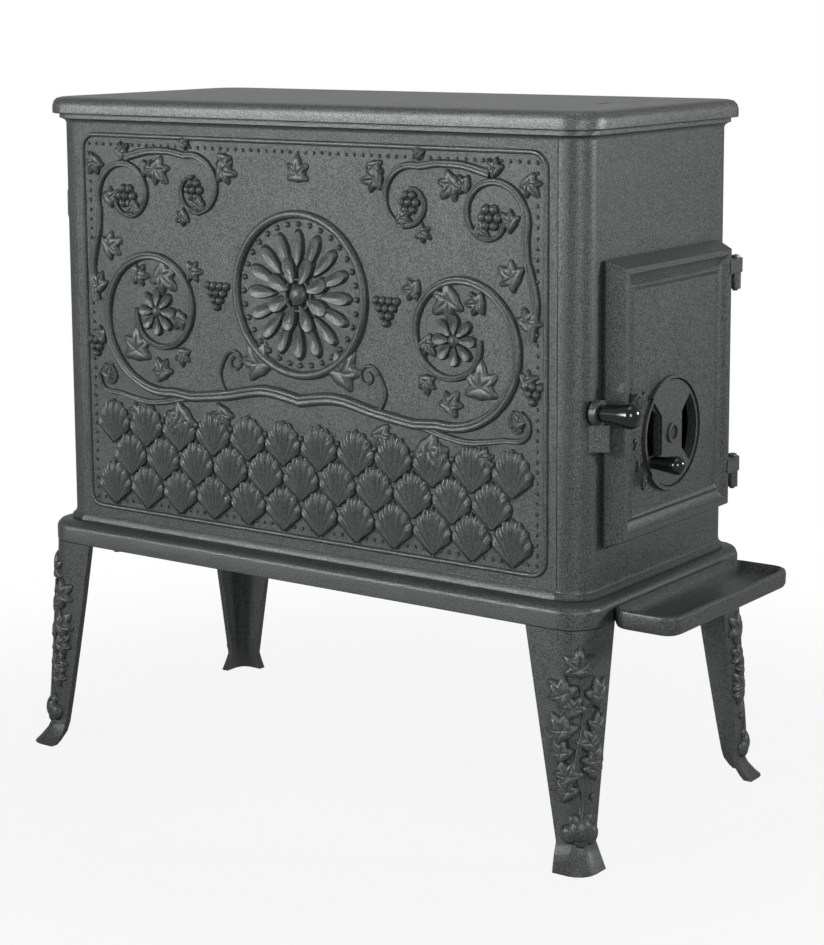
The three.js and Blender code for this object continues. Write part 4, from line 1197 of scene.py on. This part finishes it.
    def shells(self, press: Press, motifs: Motifs) -> Draft:
        """Draw the band of overlapping shells along the foot.

        Args:
            press: what repeats the motifs.
            motifs: the patterns.

        Returns:
            The band's draft.
        """
        shells = [Stamp(self.shell_pitch * (i - (count - 1) / 2), self.shell_foot + self.shell_row * row)
                  for row, count in enumerate(self.shells_per_row) for i in range(count)]
        studs = [Stamp(self.shell_pitch * (i - (self.studs - 1) / 2), self.shell_foot + self.stud_row * self.shell_row,
                       0, 1.5, 1.3) for i in range(self.studs)]
        return merge([press.stamp(motifs.fan(58.0, 49.0, 5.2), shells), press.stamp(motifs.berry(2.4, 2.8), studs)])

    def build(self, press: Press, motifs: Motifs, palette: Palette) -> None:
        """Build the panel with its ornament and put it in its node's place.

        Args:
            press: what repeats the motifs.
            motifs: the patterns.
            palette: the finishes.
        """
        name = f"side_panel_{self.hand.name.lower()}"
        plate = piece_of(self.plate().mesh(f"{name}_plate"), f"{name}_plate", "stove", palette)
        half = self.scrolls(press, motifs)
        ornament = merge([
            half, flip(half), self.rosette(press, motifs), self.shells(press, motifs), self.frame_bead(),
            press.stamp(motifs.berry(2.1, 2.3, 8, 2), self.pearl_row())])
        relief = piece_of(ornament.mesh(f"{name}_ornament", self.wrap), f"{name}_ornament", "stove", palette,
                          ORNAMENT_ANGLE)
        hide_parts(name)
        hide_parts(name)


@dataclass
class Leg:
    """A sabre leg's sprig: a stem with leaves on the rounded outer corner, over a mound at the ankle."""

    hand: Hand
    end: End
    rim_z: float = 225.0
    ankle_z: float = 24.0
    top_z: float = 224.7
    half_x: float = 162.5
    half_y: float = 340.0
    inset: float = 1.0
    lean: float = 5.0  # how far the foot stands out beyond the rim
    toe: Spot = (16.0, 26.0)  # how far the toe flares out, and where it starts
    radius_ankle: float = 14.5
    radius_gain: float = 16.5
    radius_toe: float = 5.0
    narrow_foot: float = 24.0  # the narrower face's width at the ankle
    narrow_gain: float = 33.0  # what it gains up to the rim

    def corner(self, z: float) -> tuple[float, float, float]:
        """Find the leg's outer corner at a height.

        Args:
            z: the height over the floor.

        Returns:
            Where its two outer faces stand, across and along the stove, and the radius between them.
        """
        flare, flare_z = self.toe
        lean = self.lean * (1 - z / self.rim_z) ** 1.5 + (flare * (1 - z / flare_z) ** 1.6 if z < flare_z else 0.0)
        taper = max((z - self.ankle_z) / (self.top_z - self.ankle_z), 0.0)
        foot = max(1 - z / self.ankle_z, 0.0)
        radius = self.radius_ankle + self.radius_gain * taper + self.radius_toe * foot
        return self.half_x - self.inset + lean, self.half_y - self.inset + 0.8 * lean, radius

    def wrap(self, p: Flat) -> Vector:
        """Lay a point of the sprig on the rounded corner.

        Args:
            p: along, measured round the corner from its middle, height over the floor, and out of the face.

        Returns:
            The point in the shared frame.
        """
        face_x, face_y, radius = self.corner(p[1])
        quarter = radius * math.pi / 4
        if abs(p[0]) <= quarter:
            a = math.pi / 4 + p[0] / radius
            x = face_x - radius + (radius + p[2]) * math.cos(a)
            y = face_y - radius + (radius + p[2]) * math.sin(a)
        elif p[0] < 0:
            x, y = face_x + p[2], face_y - radius - (-p[0] - quarter)
        else:
            x, y = face_x - radius - (p[0] - quarter), face_y + p[2]
        return place(self.hand.value * x, self.end.value * y, p[1])

    def room(self, leaf: Stamp) -> float:
        """Find how far a leaf may grow before it leaves the leg's narrower face.

        Args:
            leaf: the leaf.

        Returns:
            The room from its stalk to the face's edge, in mm.
        """
        across = abs(math.cos(leaf.turn))
        taper = (leaf.up - self.ankle_z) / (self.top_z - self.ankle_z)
        radius = self.corner(leaf.up)[2]
        reach = radius * math.pi / 4 + self.narrow_foot + self.narrow_gain * taper - radius
        return (reach - abs(leaf.along)) / across if across > 0.1 else math.inf

    def build(self, press: Press, motifs: Motifs, palette: Palette) -> None:
        """Build the sprig of this leg.

        Args:
            press: what repeats the motifs.
            motifs: the patterns.
            palette: the finishes.
        """
        route = [(0, 46), (3.5, 66), (-3.5, 100), (3, 140), (0, 180)]
        leaves = (sprout(route, (3.2, 1.6), (0.22, 0.42, 0.62, 0.82), 1.12)
                  + sprout(route, (3.2, 1.6), (0.37, 0.5, 0.68, 0.86), 0.95, first=-1)
                  + sprout(route, (2.0, 1.0), (0.34, 0.56, 0.76), 0.74, lean_deg=22.0)
                  + [Stamp(0, 176, math.pi / 2, 0.72, 1.0)])
        berries = [Stamp(x, z, 0, 0.9, 1.1) for x, z in ((13, 68), (-13, 76), (17, 108), (-19, 118), (-2, 196))]
        mound = [Stamp(x, z, 0, scale, 0.9 * scale) for x, z, scale in (
            (0, 38, 3.1), (-11, 34, 2.4), (11, 33, 2.5), (-6, 47, 1.7), (7, 48, 1.5), (0, 29, 1.9))]
        draft = merge([vine(bend([(0, 34), *route[1:]], 16), 3.8, 1.8, 4.4),
                       press.stamp(motifs.leaf(), fit(leaves, self.room, 0.52)),
                       press.stamp(motifs.berry(4.0, 2.6, 16, 5), berries + mound)])
        name = f"leg_{self.end.name.lower()}_{self.hand.name.lower()}_sprig"
        piece_of(draft.mesh(name, self.wrap), name, "stove", palette, ORNAMENT_ANGLE)


# ---- Castings carried over from the solids ------------------------------------------------------


def softening_tree() -> bpy.types.NodeTree:
    """Build the tree that welds a solid's loose triangles and shades its rounds smooth.

    Returns:
        The geometry node tree, with inputs Sharp Angle and Weld.
    """
    tree = bpy.data.node_groups.new("weld and shade by angle", "GeometryNodeTree")
    face = tree.interface
    face.new_socket("Geometry", in_out="INPUT", socket_type="NodeSocketGeometry")
    angle = face.new_socket("Sharp Angle", in_out="INPUT", socket_type="NodeSocketFloat")
    angle.default_value = math.radians(32)
    weld = face.new_socket("Weld", in_out="INPUT", socket_type="NodeSocketFloat")
    weld.default_value = 0.01 * MM
    face.new_socket("Geometry", in_out="OUTPUT", socket_type="NodeSocketGeometry")
    given = add_node(tree, "NodeGroupInput")
    welded = add_node(tree, "GeometryNodeMergeByDistance", None,
                      {"Geometry": given.outputs["Geometry"], "Distance": given.outputs["Weld"]})
    faces = add_node(tree, "GeometryNodeSetShadeSmooth", {"domain": "FACE"}, {"Geometry": welded.outputs["Geometry"]})
    bent = add_node(tree, "GeometryNodeInputMeshEdgeAngle")
    soft = add_node(tree, "FunctionNodeCompare", {"data_type": "FLOAT", "operation": "LESS_THAN"},
                    {0: bent.outputs["Unsigned Angle"], 1: given.outputs["Sharp Angle"]})
    edges = add_node(tree, "GeometryNodeSetShadeSmooth", {"domain": "EDGE"},
                     {"Geometry": faces.outputs["Geometry"], "Shade Smooth": soft.outputs["Result"]})
    add_node(tree, "NodeGroupOutput", None, {0: edges.outputs["Geometry"]})
    return tree


@dataclass
class Castings:
    """The solids that show as they are, with their finishes and softened edges."""

    palette: Palette
    replaced: tuple[str, ...] = ("side_panel_left", "side_panel_right")

    def dress(self) -> None:
        """Give every carried-over node its finish and shading."""
        tree = softening_tree()
        slots = {entry["node"]: entry["material_slot"] for entry in frame["record"]["subparts"]}
        for name, obj in frame["nodes"].items():
            if name in self.replaced:
                continue
            finish = self.palette.of_slot(slots[name])
            obj.data.materials.clear()
            obj.data.materials.append(finish)
            modifier = obj.modifiers.new("weld and shade", "NODES")
            modifier.node_group = tree
            weighted = obj.modifiers.new("flat faces stay flat", "WEIGHTED_NORMAL")
            weighted.keep_sharp = True
            LOG.info("%s: %s", name, finish.name)


@dataclass
class ValveScale:
    """The plain figures and dots cast beside the air valve."""

    centre_x: float = -10.5
    centre_z: float = 390.5
    reach: float = 64.5
    face_depth: float = 16.6
    body_front: float = 325.0
    figure: float = 14.0
    raised: float = 2.2
    bolder: float = 0.3
    round_mm: float = 0.4
    span_deg: tuple[float, float] = (142.0, 222.0)
    count: int = 5

    def figure_of(self, number: int) -> Draft:
        """Draw a raised figure round the origin.

        Args:
            number: what it reads.

        Returns:
            The figure's draft.
        """
        curve = bpy.data.curves.new("figure", "FONT")
        curve.body = str(number)
        curve.size = self.figure
        curve.extrude = self.raised / 2 - self.round_mm / 2
        curve.offset = self.bolder
        curve.bevel_depth = self.round_mm
        curve.bevel_resolution = 2
        curve.resolution_u = 4
        curve.align_x, curve.align_y = "CENTER", "CENTER"
        obj = put_in_scene("figure", curve)
        mesh = bpy.data.meshes.new_from_object(obj.evaluated_get(bpy.context.evaluated_depsgraph_get()))
        draft = Draft.taken(mesh)
        bpy.data.objects.remove(obj)
        bpy.data.meshes.remove(mesh)
        return draft

    def set_at(self, draft: Draft, angle_deg: float, out: float = 0.0) -> Draft:
        """Move a figure or dot from the origin to its place round the valve.

        Args:
            draft: what is moved.
            angle_deg: where it goes, counter-clockwise from the hinge side.
            out: how far it is lifted.

        Returns:
            The moved draft.
        """
        a = math.radians(angle_deg)
        return draft.moved(self.centre_x + self.reach * math.cos(a), self.centre_z + self.reach * math.sin(a), out)

    def wrap(self, p: Flat) -> Vector:
        """Lay a point of the scale on the door's sunk field."""
        return place(p[0], -self.body_front - self.face_depth - p[2], p[1])

    def build(self, palette: Palette) -> None:
        """Build the figures and the dots between them as one piece on the door.

        Args:
            palette: the finishes.
        """
        low, high = self.span_deg
        step = (high - low) / (self.count - 1)
        drafts = []
        for n in range(self.count):
            drafts.append(self.set_at(self.figure_of(n), high - step * n, self.raised / 2))
            if n < self.count - 1:
                drafts.append(self.set_at(Motifs.berry(1.8, 1.6), high - step * (n + 0.5)))
        piece_of(merge(drafts).mesh("air_valve_scale", self.wrap), "air_valve_scale", "door", palette)


# ---- Studio -------------------------------------------------------------------------------------


@dataclass(frozen=True)
class Lamp:
    """A square soft box: where it hangs and the point it faces, in metres, its edge, its watts and its grid."""

    name: str
    at: tuple[float, float, float]
    toward: tuple[float, float, float]
    edge: float
    power: float
    spread_deg: float = 180.0

    def hang(self) -> None:
        """Hang the soft box in the studio."""
        data = bpy.data.lights.new(self.name, "AREA")
        data.shape, data.size, data.energy = "SQUARE", self.edge, self.power
        data.spread = math.radians(self.spread_deg)
        obj = put_in_scene(self.name, data)
        obj.location = self.at
        obj.rotation_euler = (Vector(self.toward) - Vector(self.at)).to_track_quat("-Z", "Y").to_euler()


@dataclass
class Studio:
    """Floor, lamps, world and the camera that stands where the photographer stood."""

    eye: tuple[float, float, float] = (-1911.2, -1386.7, 800.7)
    right: tuple[float, float, float] = (0.58141132, -0.81359107, -0.00551778)
    up: tuple[float, float, float] = (0.12904434, 0.08551788, 0.98794446)
    back: tuple[float, float, float] = (-0.80331092, -0.57511413, 0.15471039)
    frame_px: tuple[int, int] = (824, 945)
    focal_px: float = 2306.05
    centre_px: tuple[float, float] = (412.0, 359.0)
    sensor_mm: float = 36.0
    sweep_m: float = 12.0
    air: float = 0.06
    lamps: tuple[Lamp, ...] = (
        Lamp("soft_box_above", (-0.4, -0.4, 2.7), (0.0, 0.0, 0.4), 1.2, 9),
        Lamp("soft_box_left", (-2.5, 1.35, 1.3), (-0.14, 0.0, 0.79), 1.5, 6.3, 30),
        Lamp("key_right_front", (1.2, -2.4, 1.1), (0.0, -0.34, 0.6), 0.35, 2.6, 44),
        Lamp("soft_box_left_front", (-1.6, -2.1, 0.95), (-0.1, -0.3, 0.5), 0.8, 22),
        Lamp("soft_box_behind", (2.9, 2.3, 1.7), (0.0, 0.0, 0.7), 2.2, 5),
    )

    def camera(self) -> None:
        """Set up the camera."""
        data = bpy.data.cameras.new("photographer")
        data.sensor_fit = "VERTICAL"
        data.sensor_height = self.sensor_mm
        data.lens = self.focal_px * self.sensor_mm / self.frame_px[1]
        data.shift_x = (self.frame_px[0] / 2 - self.centre_px[0]) / self.frame_px[1]
        data.shift_y = (self.centre_px[1] - self.frame_px[1] / 2) / self.frame_px[1]
        obj = put_in_scene("photographer", data)
        basis = Matrix((self.right, self.up, self.back)).transposed().to_4x4()
        obj.matrix_world = Matrix.Translation(Vector(self.eye) * MM) @ basis
        bpy.context.scene.camera = obj

    def floor(self, palette: Palette) -> None:
        """Lay the paper sweep.

        Args:
            palette: the finishes.
        """
        sheet = bpy.data.meshes.new("paper_sweep")
        far = self.sweep_m
        sheet.from_pydata([(-far, -far, 0), (far, -far, 0), (far, far, 0), (-far, far, 0)], [], [(0, 1, 2, 3)])
        sheet.materials.append(palette.of_slot("floor"))
        floor = put_in_scene("paper_sweep", sheet)

    def world(self) -> None:
        """Fill the studio with a little light and show white paper all round."""
        world = bpy.data.worlds.new("studio")
        bpy.context.scene.world = world
        world.use_nodes = True
        tree = world.node_tree
        tree.nodes.clear()
        light = add_node(tree, "ShaderNodeBackground", {"Color": (1, 1, 1, 1), "Strength": self.air})
        paper = add_node(tree, "ShaderNodeBackground", {"Color": (1, 1, 1, 1), "Strength": 1.0})
        mix = add_node(tree, "ShaderNodeMixShader", None,
                       {0: sees_paper(tree), 1: light.outputs["Background"], 2: paper.outputs["Background"]})
        add_node(tree, "ShaderNodeOutputWorld", None, {"Surface": mix.outputs["Shader"]})

    def build(self, palette: Palette) -> None:
        """Build camera, floor, lamps and world.

        Args:
            palette: the finishes.
        """
        self.camera()
        self.floor(palette)
        for lamp in self.lamps:
            lamp.hang()
        self.world()
        bpy.context.scene.view_settings.view_transform = "Standard"


def main() -> None:
    """Build the stove's visual model in order."""
    logging.basicConfig(level=logging.INFO, format="%(name)s: %(message)s")
    palette = Palette()
    motifs = Motifs()
    press = Press()
    Studio().build(palette)
    Castings(palette).dress()
    for hand in Hand:
        SidePanel(hand).build(press, motifs, palette)
        for end in End:
            Leg(hand, end).build(press, motifs, palette)
    ValveScale().build(palette)


if __name__ == "__main__":
    main()
